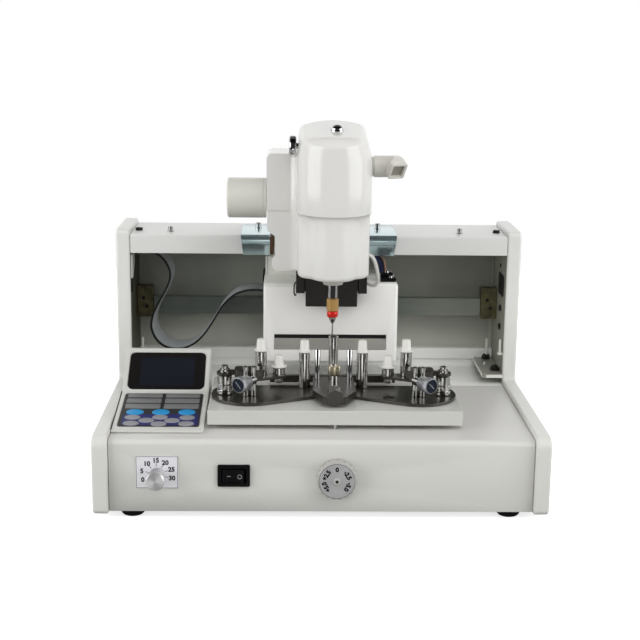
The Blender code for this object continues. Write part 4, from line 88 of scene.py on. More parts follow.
class Nodes:
    """A node tree that is filled node by node."""

    def __init__(self, tree):
        self.tree = tree

    def node(self, kind, settings=None, sockets=None, output=0):
        node = self.tree.nodes.new(kind)
        for key, setting in (settings or {}).items():
            setattr(node, key, setting)
        for key, value in (sockets or {}).items():
            self.join(value, node.inputs[key])
        return Value(self, node.outputs[output])

    def join(self, value, socket):
        if isinstance(value, Value):
            self.tree.links.new(value.socket, socket)
        else:
            socket.default_value = value

    def ramped(self, value, low, high, start, end, kind="LINEAR"):
        """A value taken over from the range low to high to the range start to end."""
        return self.node("ShaderNodeMapRange", {"interpolation_type": kind},
                         {0: value, 1: low, 2: high, 3: start, 4: end})

    def part(self, vector, axis):
        return self.node("ShaderNodeSeparateXYZ", None, {0: vector}, "XYZ".index(axis))


class Finish(Nodes):
    """A material for one slot: a Principled shader whose sockets take numbers, colours in screen
    tones of 0 to 255, or nodes that are added one by one."""

    def __init__(self, name, slot, colour, roughness, metallic=0.0, sockets=None):
        self.material = bpy.data.materials.new(name)
        self.material.use_nodes = True
        super().__init__(self.material.node_tree)
        self.shader = self.tree.nodes["Principled BSDF"]
        self.slot = slot
        self.colour = colour
        self.feed("Base Color", tuned(colour))
        self.feed("Roughness", roughness)
        self.feed("Metallic", metallic)
        for key, value in (sockets or {}).items():
            self.feed(key, value)

    def feed(self, key, value):
        self.join(value, self.shader.inputs[key])

    def mixed(self, share, first, second):
        """Colour that goes from the first to the second as share goes from 0 to 1."""
        first, second = (colour if isinstance(colour, Value) else tuned(colour)
                         for colour in (first, second))
        return self.node("ShaderNodeMix", {"data_type": "RGBA"}, {0: share, 6: first, 7: second}, 2)

    def spot(self, stretch=(1.0, 1.0, 1.0)):
        """Object coordinates, stretched."""
        place = self.node("ShaderNodeTexCoord", output=3)
        return self.node("ShaderNodeMapping", None, {"Vector": place, "Scale": stretch})

    def noise(self, scale, detail=2.0, stretch=(1.0, 1.0, 1.0)):
        return self.node("ShaderNodeTexNoise", None, {"Vector": self.spot(stretch), "Scale": scale,
                                                      "Detail": detail})

    def coordinate(self, axis):
        """One of the three object coordinates in metres."""
        return self.part(self.spot(), axis)

    def bumped(self, height, depth, strength=1.0):
        """Relief from a height of 0 to 1 that is depth metres deep."""
        self.feed("Normal", self.node("ShaderNodeBump", None, {"Height": height, "Distance": depth,
                                                               "Strength": strength}))


def tuned(colour):
    """Screen tones of 0 to 255 made into the linear colour that a shader takes."""
    tone = np.asarray(colour[:3], float) / 255
    linear = np.where(tone <= 0.04045, tone / 12.92, ((tone + 0.055) / 1.055) ** 2.4)
    return (*linear.tolist(), 1.0)


def aimed(position, target):
    """Turn that points an object's own -Z from its position to a target."""
    return (Vector(target) - Vector(position)).to_track_quat("-Z", "Y").to_matrix().to_4x4()


def lamp(name, position, target, size, energy, mirrored=True):
    light = bpy.data.lights.new(name, "AREA")
    light.shape = "RECTANGLE"
    light.size, light.size_y = size
    light.energy = energy
    item = bpy.data.objects.new(name, light)
    item.matrix_world = Matrix.Translation(position) @ aimed(position, target)
    item.visible_glossy = mirrored
    bpy.context.scene.collection.objects.link(item)


pitch, yaw, roll = np.radians((12.8, 1.5, 0.7))
ahead = Vector((np.sin(yaw) * np.cos(pitch), np.cos(yaw) * np.cos(pitch), -np.sin(pitch)))
level = Vector((np.cos(yaw), -np.sin(yaw), 0))
upward = level.cross(ahead)
rightward = level * np.cos(roll) + upward * np.sin(roll)
topward = upward * np.cos(roll) - level * np.sin(roll)
eye = bpy.data.cameras.new("camera")
eye.sensor_width = 36.0
eye.lens = 73.125
camera = bpy.data.objects.new("camera", eye)
camera.matrix_world = (Matrix.Translation((-0.0238, -0.90155, 0.3185))
                       @ Matrix((rightward, topward, -ahead)).transposed().to_4x4())
bpy.context.scene.collection.objects.link(camera)
bpy.context.scene.camera = camera
bpy.context.scene.view_settings.view_transform = "Standard"

lamp("lamp_above", (0.24, -0.82, 1.10), (0.0, 0.0, 0.1), (1.1, 0.6), 5.0, False)
lamp("lamp_rear", (0.0, 1.15, 0.95), (0.0, 0.0, 0.1), (1.2, 0.5), 3.6, False)
lamp("lamp_left", (-1.28, -0.56, 0.45), (0.0, 0.0, 0.12), (1.3, 1.05), 12.2)
lamp("lamp_right", (1.28, -0.56, 0.45), (0.0, 0.0, 0.12), (1.3, 1.05), 11.2)
lamp("lamp_front", (-0.20, -1.10, 0.50), (0.0, 0.0, 0.1), (0.5, 0.24), 0.7, False)

world = bpy.data.worlds.new("room")
bpy.context.scene.world = world
world.use_nodes = True
room = Nodes(world.node_tree)
direction = room.node("ShaderNodeTexCoord")
behind = room.ramped(room.part(direction, "Y"), -0.05, 0.25, 0.04, 1.0, "SMOOTHSTEP")
below = room.ramped(room.part(direction, "Z"), 0.45, 0.75, 1.0, 0.15, "SMOOTHSTEP")
seen = room.node("ShaderNodeLightPath")
shiny = room.node("ShaderNodeLightPath", output=3) + room.node("ShaderNodeLightPath", output=6)
ambient = 0.34
backdrop = world.node_tree.nodes["Background"]
room.join(seen + shiny * behind * below + (1 - seen - shiny) * ambient, backdrop.inputs["Strength"])
backdrop.inputs["Color"].default_value = (1.0, 1.0, 1.0, 1.0)

# In front the paper ends in a strip. Upright chrome mirrors that strip and the dark beyond it.
floor_mesh = bpy.data.meshes.new("floor")
floor_outline = [(-0.8, -0.27), (-0.07, -0.27), (-0.07, -0.46), (0.09, -0.46), (0.09, -0.27),
                 (0.8, -0.27), (0.8, 0.8), (-0.8, 0.8)]
floor_mesh.from_pydata([(x, y, -0.0001) for x, y in floor_outline], [], [tuple(range(8))])
floor = bpy.data.objects.new("floor", floor_mesh)
bpy.context.scene.collection.objects.link(floor)
paper = Finish("sweep_paper", None, (245, 245, 243), 0.8)
looked_at = (paper.node("ShaderNodeLightPath")
             + paper.node("ShaderNodeLightPath", output=3) * (paper.coordinate("Y") < -0.33))
paper.feed("Base Color", paper.mixed(looked_at, (170, 170, 168), paper.colour))
paper.feed("Emission Color", paper.mixed(looked_at, (0, 0, 0), (255, 255, 255)))
paper.feed("Emission Strength", 0.72)
floor_mesh.materials.append(paper.material)

# ---------------------------------------------------------------------------------------------
# Side covers. Two L-shaped cheeks, painted white outside and grey-green primer inside the bay,
# with softly rounded edges. The outer white is painted darker low down and lighter high up as
# painted shade and light, and the left inner face is painted darker than the right one as painted
# shade. They are screwed to the base, the beam and the rear wall from within.

FRONT = -0.09805
INNER_FACE = 0.1397
PLAN = ((0, 0, 0), (1, 0, 0), (0, 1, 0))
FLANK = ((0, 0, 0), (0, 1, 0), (0, 0, 1))
UP = (0, 0, 1)
HANDS = (("left", -1), ("right", 1))


def deep(depth):
    """World Y of a plane that lies the given depth behind the covers' front edge."""
    return FRONT + depth


def placed(points, base):
    """Local points (across, along, out) laid on a base: an origin and its two directions."""
    origin, across, along = (np.asarray(part, float) for part in base)
    points = np.asarray(points, float)
    out = np.cross(across, along)
    return origin + points[..., :1] * across + points[..., 1:2] * along + points[..., 2:] * out


def filleted(corners, radii, steps=8):
    """Closed outline whose corners are round. Each corner's arc touches both its edges: its
    centre lies on the corner's bisector, at the radius over the sine of half the angle, and its
    points are turned evenly from one tangent point to the other."""
    corners = np.asarray(corners, float)
    radii = np.broadcast_to(np.asarray(radii, float), len(corners))[:, None]
    back = np.roll(corners, 1, axis=0) - corners
    on = np.roll(corners, -1, axis=0) - corners
    back /= np.linalg.norm(back, axis=1, keepdims=True)
    on /= np.linalg.norm(on, axis=1, keepdims=True)
    bisector = back + on
    bisector /= np.linalg.norm(bisector, axis=1, keepdims=True)
    half = np.arccos(np.clip((bisector * on).sum(1, keepdims=True), -1, 1))
    centre = corners + bisector * radii / np.sin(half)
    start = corners + back * radii / np.tan(half) - centre
    side = np.sign(back[:, :1] * on[:, 1:] - back[:, 1:] * on[:, :1])
    share = np.linspace(0, 1, steps + 1)[None, :]
    turn = -side * (np.pi - 2 * half) * share
    x = start[:, :1] * np.cos(turn) - start[:, 1:] * np.sin(turn)
    y = start[:, :1] * np.sin(turn) + start[:, 1:] * np.cos(turn)
    points = (centre[:, None, :] + np.stack([x, y], -1)).reshape(-1, 2)
    gap = np.linalg.norm(points - np.roll(points, 1, axis=0), axis=1)
    return points[gap > 1e-7]


def block(width, height, radius=0.0, centre=(0.0, 0.0), steps=6):
    """Rectangle about a centre, with round corners where a radius is given."""
    across, along = width / 2, height / 2
    corners = np.array([(-across, -along), (across, -along), (across, along), (-across, along)])
    return filleted(corners + centre, radius, steps) if radius else corners + centre


def disc(radius, centre=(0.0, 0.0), steps=32):
    """Circle about a centre: cosine and sine of a whole turn."""
    turn = np.linspace(0, 2 * np.pi, steps, endpoint=False)
    return np.stack([np.cos(turn), np.sin(turn)], -1) * radius + centre


def skin(rows, looped=False):
    """Closed surface through rings of equally many points. Neighbouring rings are joined by
    quads. The first and last ring get a flat lid each, or where looped, are joined as well.
    Where the divergence sum over the faces is negative, every face is turned round."""
    rows = np.asarray(rows, float)
    levels, count = rows.shape[:2]
    number = np.arange(levels * count).reshape(levels, count)
    low = number if looped else number[:-1]
    high = np.roll(number, -1, axis=0) if looped else number[1:]
    quads = np.stack([low, np.roll(low, -1, 1), np.roll(high, -1, 1), high], -1).reshape(-1, 4)
    points = rows.reshape(-1, 3)
    middle = points - points.mean(0)
    crossed = np.cross(middle[quads[:, 2]] - middle[quads[:, 0]],
                       middle[quads[:, 3]] - middle[quads[:, 1]]) / 2
    volume = (crossed * middle[quads].mean(1)).sum()
    lids = [] if looped else [number[0, ::-1], number[-1]]
    for lid in lids:
        ring = middle[lid]
        area = np.cross(ring, np.roll(ring, -1, axis=0)).sum(0) / 2
        volume += area @ ring.mean(0)
    faces = quads.tolist() + [lid.tolist() for lid in lids]
    if volume < 0:
        faces = [face[::-1] for face in faces]
    return points, faces


def slab(outline, low, high, base=PLAN):
    """Plate of even thickness: an outline at two heights over its base."""
    outline = np.asarray(outline, float)
    rows = [np.column_stack([outline, np.full(len(outline), height)]) for height in (low, high)]
    return skin(placed(np.array(rows), base))


def turned(profile, origin, axis, steps=48, lobes=0, swell=None):
    """Turned piece: each (radius, height) of the profile goes once round the axis. A swell per
    profile point adds that much times the cosine of lobes turns to the radius, as on a knurl."""
    profile = np.array([row for row in profile if row[0] > 1e-6], float)
    axis = np.asarray(axis, float) / np.linalg.norm(axis)
    helper = np.array((0.0, 0.0, 1.0)) if abs(axis[2]) < 0.9 else np.array((1.0, 0.0, 0.0))
    first = np.cross(helper, axis)
    first /= np.linalg.norm(first)
    second = np.cross(axis, first)
    turn = np.linspace(0, 2 * np.pi, steps, endpoint=False)[None, :, None]
    radius = profile[:, :1, None] + np.zeros_like(turn)
    if swell is not None:
        radius = radius + np.asarray(swell, float)[:, None, None] * np.cos(lobes * turn)
    rim = first * np.cos(turn) + second * np.sin(turn)
    return skin(np.asarray(origin) + radius * rim + profile[:, 1:, None] * axis)


def piece(name, shapes, finish, body="frame", bevel=0.0, stands_for=None, crease=35):
    """One object from closed shells, with its place in its mesh."""
    points = np.concatenate([shape[0] for shape in shapes])
    starts = np.cumsum([0] + [len(shape[0]) for shape in shapes])
    faces = [[corner + start for corner in face]
             for start, shape in zip(starts.tolist(), shapes) for face in shape[1]]
    mesh = bpy.data.meshes.new(name)
    mesh.from_pydata(points.tolist(), [], faces)
    dressed(mesh, finish, body, bevel, stands_for, crease)


def dressed(mesh, finish, body, bevel, stands_for, crease):
    """Object that shows a mesh. Edges sharper than the crease in degrees stay sharp, or are
    rounded where a bevel in metres is given. It rides on a named body. Four values in the body's
    place are not used, and the mesh is then fixed where it stands."""
    item = bpy.data.objects.new(mesh.name, mesh)
    mesh.materials.append(finish.material)
    mesh.polygons.foreach_set("use_smooth", np.ones(len(mesh.polygons), bool))
    bpy.context.scene.collection.objects.link(item)
    if bevel:
        rounding = item.modifiers.new("edges", "BEVEL")
        rounding.width = bevel
        rounding.segments = 3
        rounding.limit_method = "ANGLE"
        rounding.angle_limit = np.radians(crease)
        rounding.harden_normals = True
    else:
        mesh.set_sharp_from_angle(angle=np.radians(crease))
    if isinstance(body, str):
        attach(item, body)
    else:
        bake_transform(item)
    if stands_for:
        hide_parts(stands_for)


def refined(name, node, finish, body="frame", bevel=0.0004):
    """Copy of a carved CAD node: its loose triangles are merged and flat ones joined, and then
    its edges are rounded and its rounds shaded smoothly."""
    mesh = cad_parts[node].data.copy()
    mesh.name = name
    shape = bmesh.new()
    shape.from_mesh(mesh)
    bmesh.ops.remove_doubles(shape, verts=shape.verts, dist=1e-6)
    bmesh.ops.dissolve_limit(shape, angle_limit=np.radians(0.6), verts=shape.verts,
                             edges=shape.edges)
    shape.to_mesh(mesh)
    shape.free()
    mesh.materials.clear()
    dressed(mesh, finish, body, bevel, node, 35)


def shaded(colour, share):
    """The same colour at a share of its tone."""
    return tuple(value * share for value in colour)


def painted(name, colour, roughness=0.34, grain=2600.0, relief=0.000012, slot="white_paint"):
    """Stoved paint: a fine orange peel, a faint unevenness of tone and a few duller patches."""
    paint = Finish(name, slot, colour, roughness, 0.0, {"Coat Weight": 0.12,
                                                        "Coat Roughness": 0.18})
    cloud = paint.noise(14.0, 3.0)
    tone = cloud * 0.5 + paint.noise(420.0, 2.0) * 0.12
    paint.feed("Base Color", paint.mixed(tone, colour, shaded(colour, 0.955)))
    paint.feed("Roughness", roughness - 0.05 + cloud * 0.12)
    paint.bumped(paint.noise(grain, 2.0), relief, 0.5)
    return paint


white_paint = painted("white_paint", (229, 229, 224))
cover_paint = painted("cover_paint", (227, 227, 222))
cover_x = cover_paint.coordinate("X")
within = ((cover_x < 0.13995) * (cover_x > -0.13995)
          * (cover_paint.coordinate("Y") > deep(0.1462)) * (cover_paint.coordinate("Z") < 0.1662))
bay_primer_and_shade = cover_paint.mixed(cover_paint.noise(30.0, 4.0), (164, 165, 153), (142, 143, 132))
# The left cover's inner face in the bay is painted a darker olive than the right one's: painted
# shade.
bay_primer_and_shade = cover_paint.mixed(cover_x > 0.0, (86, 85, 70), bay_primer_and_shade)
cover_cloud = cover_paint.noise(14.0, 3.0)
# Outside, the white is painted a shade darker low down and lighter high up: painted shade and
# painted light.
lower_white_shaded = cover_paint.mixed(cover_cloud, (224, 224, 219), (214, 214, 209))
upper_white_lit = cover_paint.mixed(cover_cloud, (234, 234, 230), (225, 225, 221))
rise = cover_paint.ramped(cover_paint.coordinate("Z"), 0.045, 0.120, 0.0, 1.0)
outer_white_shade_and_light = cover_paint.mixed(rise, lower_white_shaded, upper_white_lit)
cover_paint.feed("Base Color", cover_paint.mixed(within, outer_white_shade_and_light, bay_primer_and_shade))
cover_paint.feed("Roughness", 0.32 + within * 0.25)

BAY_FRONT, REAR = deep(0.145), deep(0.205)
cover_foot, cover_deck, cover_top = 0.004, 0.0575, 0.1704
cover_corners = [(FRONT, cover_foot), (REAR, cover_foot), (REAR, cover_top),
                 (BAY_FRONT, cover_top), (BAY_FRONT, cover_deck), (FRONT, cover_deck)]
cover_outline = filleted(cover_corners, (0.004, 0.004, 0.004, 0.004, 0.004, 0.008))
for hand, side in HANDS:
    low, high = sorted((side * INNER_FACE, side * 0.150))
    piece(hand + "_cover", [slab(cover_outline, low, high, FLANK)], cover_paint, bevel=0.0016,
          stands_for=hand + "_side_cover")

# Small fittings on the covers' inner faces in the bay: slotted and round holes drawn as thin
# near-black plates of painted shade, screws, and a white gusset in the upper left corner. They
# are punched in or riveted on.


def grained(name, slot, colour, gloss, grain, metallic=0.0, dark=None, cloud=None, relief=None,
            sockets=None):
    """Finish whose roughness starts at the first number of gloss and rises by the second with a
    grain of noise. Its colour goes over to a dark one with the same grain or a cloud of its own.
    Relief is a depth in metres and a strength, then maybe the numbers of a noise of its own."""
    finish = Finish(name, slot, colour, gloss[0], metallic, sockets)
    share = finish.noise(*grain)
    finish.feed("Roughness", gloss[0] + share * gloss[1])
    if dark:
        finish.feed("Base Color",
                    finish.mixed(finish.noise(*cloud) if cloud else share, colour, dark))
    if relief:
        finish.bumped(finish.noise(*relief[2:]) if relief[2:] else share, *relief[:2])
    return finish


# Near-black finish: painted shade in holes and in the name plate recess, and the colour of the
# console's seam and the dial's screw.
hole_shade_and_black = grained("hole_shade_and_black", "black_plastic", (16, 15, 14), (0.6, 0.3), (300.0,))
black_metal = grained("black_metal", "black_metal", (62, 60, 58), (0.34, 0.18),
                      (900.0, 3.0, (1.0, 0.25, 1.0)), 0.55, (44, 43, 42), relief=(0.00001, 1.0))


def wall_base(side, depth, height):
    """Base on a cover's inner face that faces into the bay."""
    along = (0, 1, 0) if side < 0 else (0, -1, 0)
    return ((side * INNER_FACE, deep(depth), height), along, UP)


slots = [slab(block(0.0230, 0.0165, 0.0030), 0.00002, 0.0004, wall_base(1, 0.166, 0.1270)),
         slab(block(0.0090, 0.0115, 0.0012), 0.00002, 0.0004, wall_base(-1, 0.1520, 0.1275)),
         slab(disc(0.0016), 0.00002, 0.0004, wall_base(1, 0.172, 0.1405)),
         slab(disc(0.0026), 0.00002, 0.0004, wall_base(1, 0.157, 0.0810))]
piece("wall_slots", slots, hole_shade_and_black)
wall_screws = [turned([(0.0026, 0.0), (0.0026, 0.0009), (0.0017, 0.0016), (0.0004, 0.0017)],
                      (INNER_FACE, deep(0.164), height), (-1, 0, 0), 24)
               for height in (0.1090, 0.0945)]
piece("wall_screws", wall_screws, black_metal, bevel=0.0002)
gusset_corners = [(0, 0), (0.016, 0), (0.016, -0.008), (0.005, -0.018), (0, -0.018)]
piece("corner_gusset", [slab(filleted(gusset_corners, 0.0008), 0.0, 0.0012,
                             wall_base(-1, 0.1478, 0.1510))], white_paint, bevel=0.0003)

# ---------------------------------------------------------------------------------------------
# Base. A folded and painted housing with the front panel, the deck and a raised sill behind the
# bay, a plated steel floor plate screwed under it, and four rubber feet.

base_paint = painted("base_paint", (224, 224, 219))
base_cloud = base_paint.noise(14.0, 3.0)
panel_tone = base_paint.mixed(base_cloud, (222, 222, 217), (211, 211, 206))
# The deck's top is painted a shade darker than the front panel as painted shade, and the sill in
# the bay is painted near-white as painted light.
deck_shade_and_sill_light = base_paint.mixed(base_cloud, (216, 215, 211), (208, 207, 203))
deck_shade_and_sill_light = base_paint.mixed(base_paint.coordinate("Y") > deep(0.1380), deck_shade_and_sill_light, (250, 250, 247))
base_paint.feed("Base Color", base_paint.mixed(base_paint.coordinate("Z") > 0.0542, panel_tone,
                                               deck_shade_and_sill_light))
refined("base", "base_housing", base_paint, bevel=0.0005)

pale_zinc = grained("pale_zinc", "steel", (190, 192, 190), (0.34, 0.2), (60.0, 4.0), 0.6)
SPAN = 0.1394
sheet_front, sheet_rear = deep(0.0115), deep(0.2032)
sheet_outline = [(-SPAN, sheet_front), (SPAN, sheet_front), (SPAN, sheet_rear), (-SPAN, sheet_rear)]
piece("floor_sheet", [slab(sheet_outline, 0.0040, 0.0052)], pale_zinc, stands_for="floor_plate")
rubber = grained("rubber", "black_rubber", (10, 10, 11), (0.68, 0.25), (500.0, 3.0),
                 relief=(0.00003, 1.0, 1800.0, 3.0), sockets={"Specular IOR Level": 0.25})
foot_profile = [(0.0004, 0.0), (0.0054, 0.0), (0.0066, 0.0005), (0.0075, 0.0014),
                (0.0079, 0.0024), (0.0080, 0.0041), (0.0004, 0.0041)]
for end, depth in (("front", 0.0145), ("rear", 0.189)):
    for hand, side in HANDS:
        piece("%s_%s_foot" % (end, hand),
              [turned(foot_profile, (side * 0.1250, deep(depth), 0), UP)], rubber,
              stands_for="foot_%s_%s" % (end, hand))

# ---------------------------------------------------------------------------------------------
# Beam and rear wall. The beam is one painted sheet with a folded front flange. It closes the bay
# at the top, and four screws hold it. The wall behind is primer inside and painted outside.

BEAM_TOP = 0.1665
beam_paint = painted("beam_paint", (230, 230, 227))
sheet, flange_foot = 0.0015, 0.1527
beam_corners = [(BAY_FRONT, flange_foot), (BAY_FRONT + sheet, flange_foot),
                (BAY_FRONT + sheet, BEAM_TOP - sheet), (REAR, BEAM_TOP - sheet), (REAR, BEAM_TOP),
                (BAY_FRONT, BEAM_TOP)]
beam_outline = filleted(beam_corners, (0.0003, 0.0003, 0.0004, 0.0003, 0.0003, 0.0013))
piece("beam", [slab(beam_outline, -SPAN, SPAN, FLANK)], beam_paint, stands_for="top_beam")

wall_paint = painted("wall_paint", (226, 226, 222))
outside = wall_paint.coordinate("Y") > deep(0.20435)
inside = wall_paint.mixed(wall_paint.noise(24.0, 4.0, (0.5, 1.0, 1.0)), (171, 174, 165),
                          (145, 148, 138))
# Inside, the wall is painted paler towards its foot: painted light.
painted_foot_light = wall_paint.ramped(wall_paint.coordinate("Z"), 0.058, 0.112, 1.0, 0.0)
inside = wall_paint.mixed(painted_foot_light, inside, (202, 204, 194))
wall_paint.feed("Base Color", wall_paint.mixed(outside, inside, wall_paint.colour))
wall_paint.feed("Roughness", 0.45 - outside * 0.12)
refined("back_wall", "rear_wall", wall_paint, bevel=0.0002)

end_screws = []
for x in (-0.135, 0.134):
    head = (x, deep(0.166), BEAM_TOP)
    end_screws.append(turned([(0.0028, 0.0), (0.0028, 0.0005), (0.0022, 0.0011), (0.0002, 0.0013)],
                             head, UP, 24))
    for across, along in (((0.94, 0.34, 0), (-0.34, 0.94, 0)), ((0.34, -0.94, 0), (0.94, 0.34, 0))):
        end_screws.append(slab(block(0.0052, 0.0011), 0.0002, 0.0021, (head, across, along)))
piece("beam_end_screws", end_screws, black_metal)
bright_steel = grained("bright_steel", "steel", (196, 197, 196), (0.17, 0.06),
                       (700.0, 2.0, (1.0, 1.0, 0.15)), 1.0, relief=(0.000002, 1.0))


def socket_screw(place, radius, height, steps):
    """Screw head on a thin washer, with a round socket in its top."""
    return turned([(0.0026, 0.0), (0.0026, 0.0004), (radius, 0.0006), (radius, height - 0.0002),
                   (radius - 0.0002, height), (0.0011, height), (0.0010, 0.0028),
                   (0.0002, 0.0028)], place, UP, steps)


piece("beam_bright_screws", [socket_screw((x, deep(0.161), BEAM_TOP), 0.0020, 0.0038, 28)
                             for x in (-0.111, 0.1055)], bright_steel)
flanges = [slab(block(0.00248, 0.0018, centre=(side * 0.13844, deep(0.2025))), 0.0560, 0.1640)
           for side in (-1, 1)]
piece("wall_flanges", flanges, wall_paint, bevel=0.0003)

# Hooks. Two bent strips of zinc plated steel with a bluish sheen hang over the beam's front edge,
# each held by one socket screw.

zinc = grained("zinc", "zinc", (208, 227, 231), (0.12, 0.08), (60.0, 3.0, (1.0, 0.3, 0.3)), 0.85,
               (180, 206, 209), relief=(0.000004, 0.4, 900.0, 2.0))


def strip(line, thickness):
    """Closed outline of a bent sheet: the line moved to both sides along its mean normals."""
    line = np.asarray(line, float)
    step = np.gradient(line, axis=0)
    step /= np.linalg.norm(step, axis=1, keepdims=True)
    normal = np.stack([-step[:, 1], step[:, 0]], -1) * thickness / 2
    return np.concatenate([line + normal, (line - normal)[::-1]])


def rounded_line(corners, radii, steps=5):
    """Open line with round corners: the filleted closed outline without its closing stretch."""
    return filleted(np.asarray(corners, float), (1e-6, *radii, 1e-6), steps)


hook_top = BEAM_TOP + 0.0003
hook_line = [(BAY_FRONT + 0.046, hook_top + 0.0006), (BAY_FRONT - 0.0060, hook_top + 0.0006),
             (BAY_FRONT - 0.0064, hook_top - 0.0036), (BAY_FRONT - 0.0022, hook_top - 0.0138)]
hook_side = strip(rounded_line(hook_line, (0.0008, 0.0130), 9), 0.0012)
hook_taper = np.clip((hook_top - hook_side[:, 1]) / 0.0145, 0, 1) * 0.0018
for hand, middle in (("left", -0.0457), ("right", 0.0445)):
    rows = np.array([np.column_stack([hook_side, middle + end * (0.01215 - hook_taper)])
                     for end in (-1, 1)])
    piece(hand + "_hook", [skin(placed(rows, FLANK))], zinc, bevel=0.0002,
          stands_for=hand + "_beam_hook", crease=50)
    head = socket_screw((middle, BAY_FRONT + 0.028, hook_top + 0.0012), 0.0021, 0.0039, 32)
    piece(hand + "_hook_screw", [head], bright_steel)

# ---------------------------------------------------------------------------------------------
# Cross rail. A ground steel bar across the bay, between two yellow plated brackets that are
# screwed to the covers. The carriage's runner grips it.

rail_steel = Finish("rail_steel", "steel", (128, 134, 128), 0.35, 0.6)
rail_grain = rail_steel.noise(220.0, 3.0, (0.06, 1.0, 1.0))
rail_cloud = rail_steel.noise(16.0, 3.0, (1.0, 1.0, 0.3))
rail_tone = rail_steel.mixed(rail_grain, (150, 156, 148), (118, 126, 122))
rail_tone = rail_steel.mixed(rail_cloud * 1.2 - 0.2, rail_tone, (92, 98, 96))
# The rail is painted paler towards its right end: painted light.
rail_painted_light = rail_steel.ramped(rail_steel.coordinate("X"), 0.03, 0.12, 0.0, 0.35)
rail_steel.feed("Base Color", rail_steel.mixed(rail_painted_light, rail_tone, (214, 220, 204)))
rail_steel.feed("Roughness", 0.25 + rail_grain * 0.2)
rail = slab(block(0.006, 0.0135, centre=(deep(0.187), 0.10525)), -0.1269, 0.1269, FLANK)
piece("rail", [rail], rail_steel, bevel=0.0004, stands_for="guide_rail")


def facing(depth, x=0.0):
    """Base on an upright plane that faces the front."""
    return ((x, deep(depth), 0), (1, 0, 0), UP)


yellow_plate = Finish("yellow_plate", "yellow_zinc", (112, 102, 66), 0.42, 0.8)
iridescence = yellow_plate.noise(190.0, 4.0)
yellow_plate.feed("Base Color", yellow_plate.mixed(iridescence * 1.6 - 0.4, (144, 138, 102),
                                                   (70, 70, 58)))
yellow_plate.feed("Roughness", 0.34 + iridescence * 0.2)
for hand, side in HANDS:
    middle = side * 0.1333
    piece(hand + "_bracket", [slab(block(0.0122, 0.0245, 0.0004, (middle, 0.10825)), -0.008, 0.0,
                                   facing(0.183))],
          yellow_plate, bevel=0.0005, stands_for=hand + "_rail_bracket")
    # The bracket's holes are thin near-black discs: painted shade.
    holes = [slab(disc(0.0013, (middle + shift, height), 20), 0.00002, 0.0002, facing(0.183))
             for shift, height in ((-0.0013, 0.111), (0.0013, 0.1045))]
    piece(hand + "_bracket_holes", holes, hole_shade_and_black)

# Corner plate. A grey plated angle on the right cover with two black hexagon bolts, and white
# pins that stand on the rear bolt and beside the front one. The left cover has one bolt and pin.

plate_paint = painted("plate_paint", (150, 150, 140), 0.28)
plate_left, plate_front, plate_rear = 0.1242, deep(0.1415), deep(0.2010)
plate_top, sill_top = 0.0620, 0.0545
plate_corners = filleted([(plate_left, plate_front), (SPAN, plate_front), (SPAN, plate_rear),
                          (plate_left, plate_rear)], (0.003, 1e-5, 1e-5, 0.001))
piece("angle_plate", [slab(plate_corners, 0.0604, plate_top)], plate_paint, bevel=0.0005,
      stands_for="corner_plate")
# A thin white strip along the plate's front and left edges is a painted highlight.
painted_edge_highlight = strip([(plate_left + 0.0002, plate_rear), (plate_left + 0.0002, plate_front + 0.003),
                    (plate_left + 0.003, plate_front + 0.0002), (SPAN, plate_front + 0.0002)],
                   0.0007)
piece("angle_plate_edge", [slab(painted_edge_highlight, 0.0598, 0.0621)], white_paint)
bolts = []
for x, depth, foot in ((0.1356, 0.1560, plate_top), (0.1340, 0.1915, plate_top),
                       (-0.1335, 0.158, sill_top)):
    centre = (x, deep(depth))
    bolts += [slab(disc(0.0033, centre, 6), foot, foot + 0.0030),
              slab(disc(0.0037, centre, 28), foot, foot + 0.0006),
              turned([(0.0022, 0.0), (0.0022, 0.0008), (0.0018, 0.0010), (0.0002, 0.0010)],
                     (*centre, foot + 0.0029), UP, 20)]
piece("corner_bolts", bolts, black_metal, bevel=0.0003)
pins = [turned([(0.0010, 0.0), (0.0010, reach), (0.0006, reach + 0.0005)], (x, deep(depth), foot),
               UP, 20)
        for x, depth, foot, reach in ((0.1343, 0.1905, 0.0650, 0.0130),
                                      (0.1302, 0.1730, plate_top, 0.0016),
                                      (-0.1338, 0.166, sill_top, 0.0290),
                                      (0.1378, 0.1490, 0.0775, 0.0100))]
pins.append(slab(block(0.0038, 0.0044, 0.0006, (0.1379, deep(0.149)), 3), 0.0763, 0.0777))
piece("corner_pins", pins, white_paint)

# ---------------------------------------------------------------------------------------------
# Console. A white moulded housing in two slopes: a glossy display window above, and below it a
# printed membrane keypad whose raised keys are left without legends.


def moulded(name, colour, roughness=0.3, grain=1300.0, relief=0.000008):
    """White plastic from a mould: painted's looks with a finer relief."""
    return painted(name, colour, roughness, grain, relief, "white_plastic")


refined("console", "console_housing", moulded("moulded_white", (211, 211, 206), grain=1500.0),
        bevel=0.0016)


def facet(low, high, shift=0.0):
    """Base in the middle of a sloping side between two (y, z) edges, its second axis upwards."""
    low, high = Vector((0, *low)), Vector((0, *high))
    along = (high - low).normalized()
    middle = (low + high) / 2 + along * shift
    return ((-0.10895, middle.y, middle.z), (1, 0, 0), tuple(along))


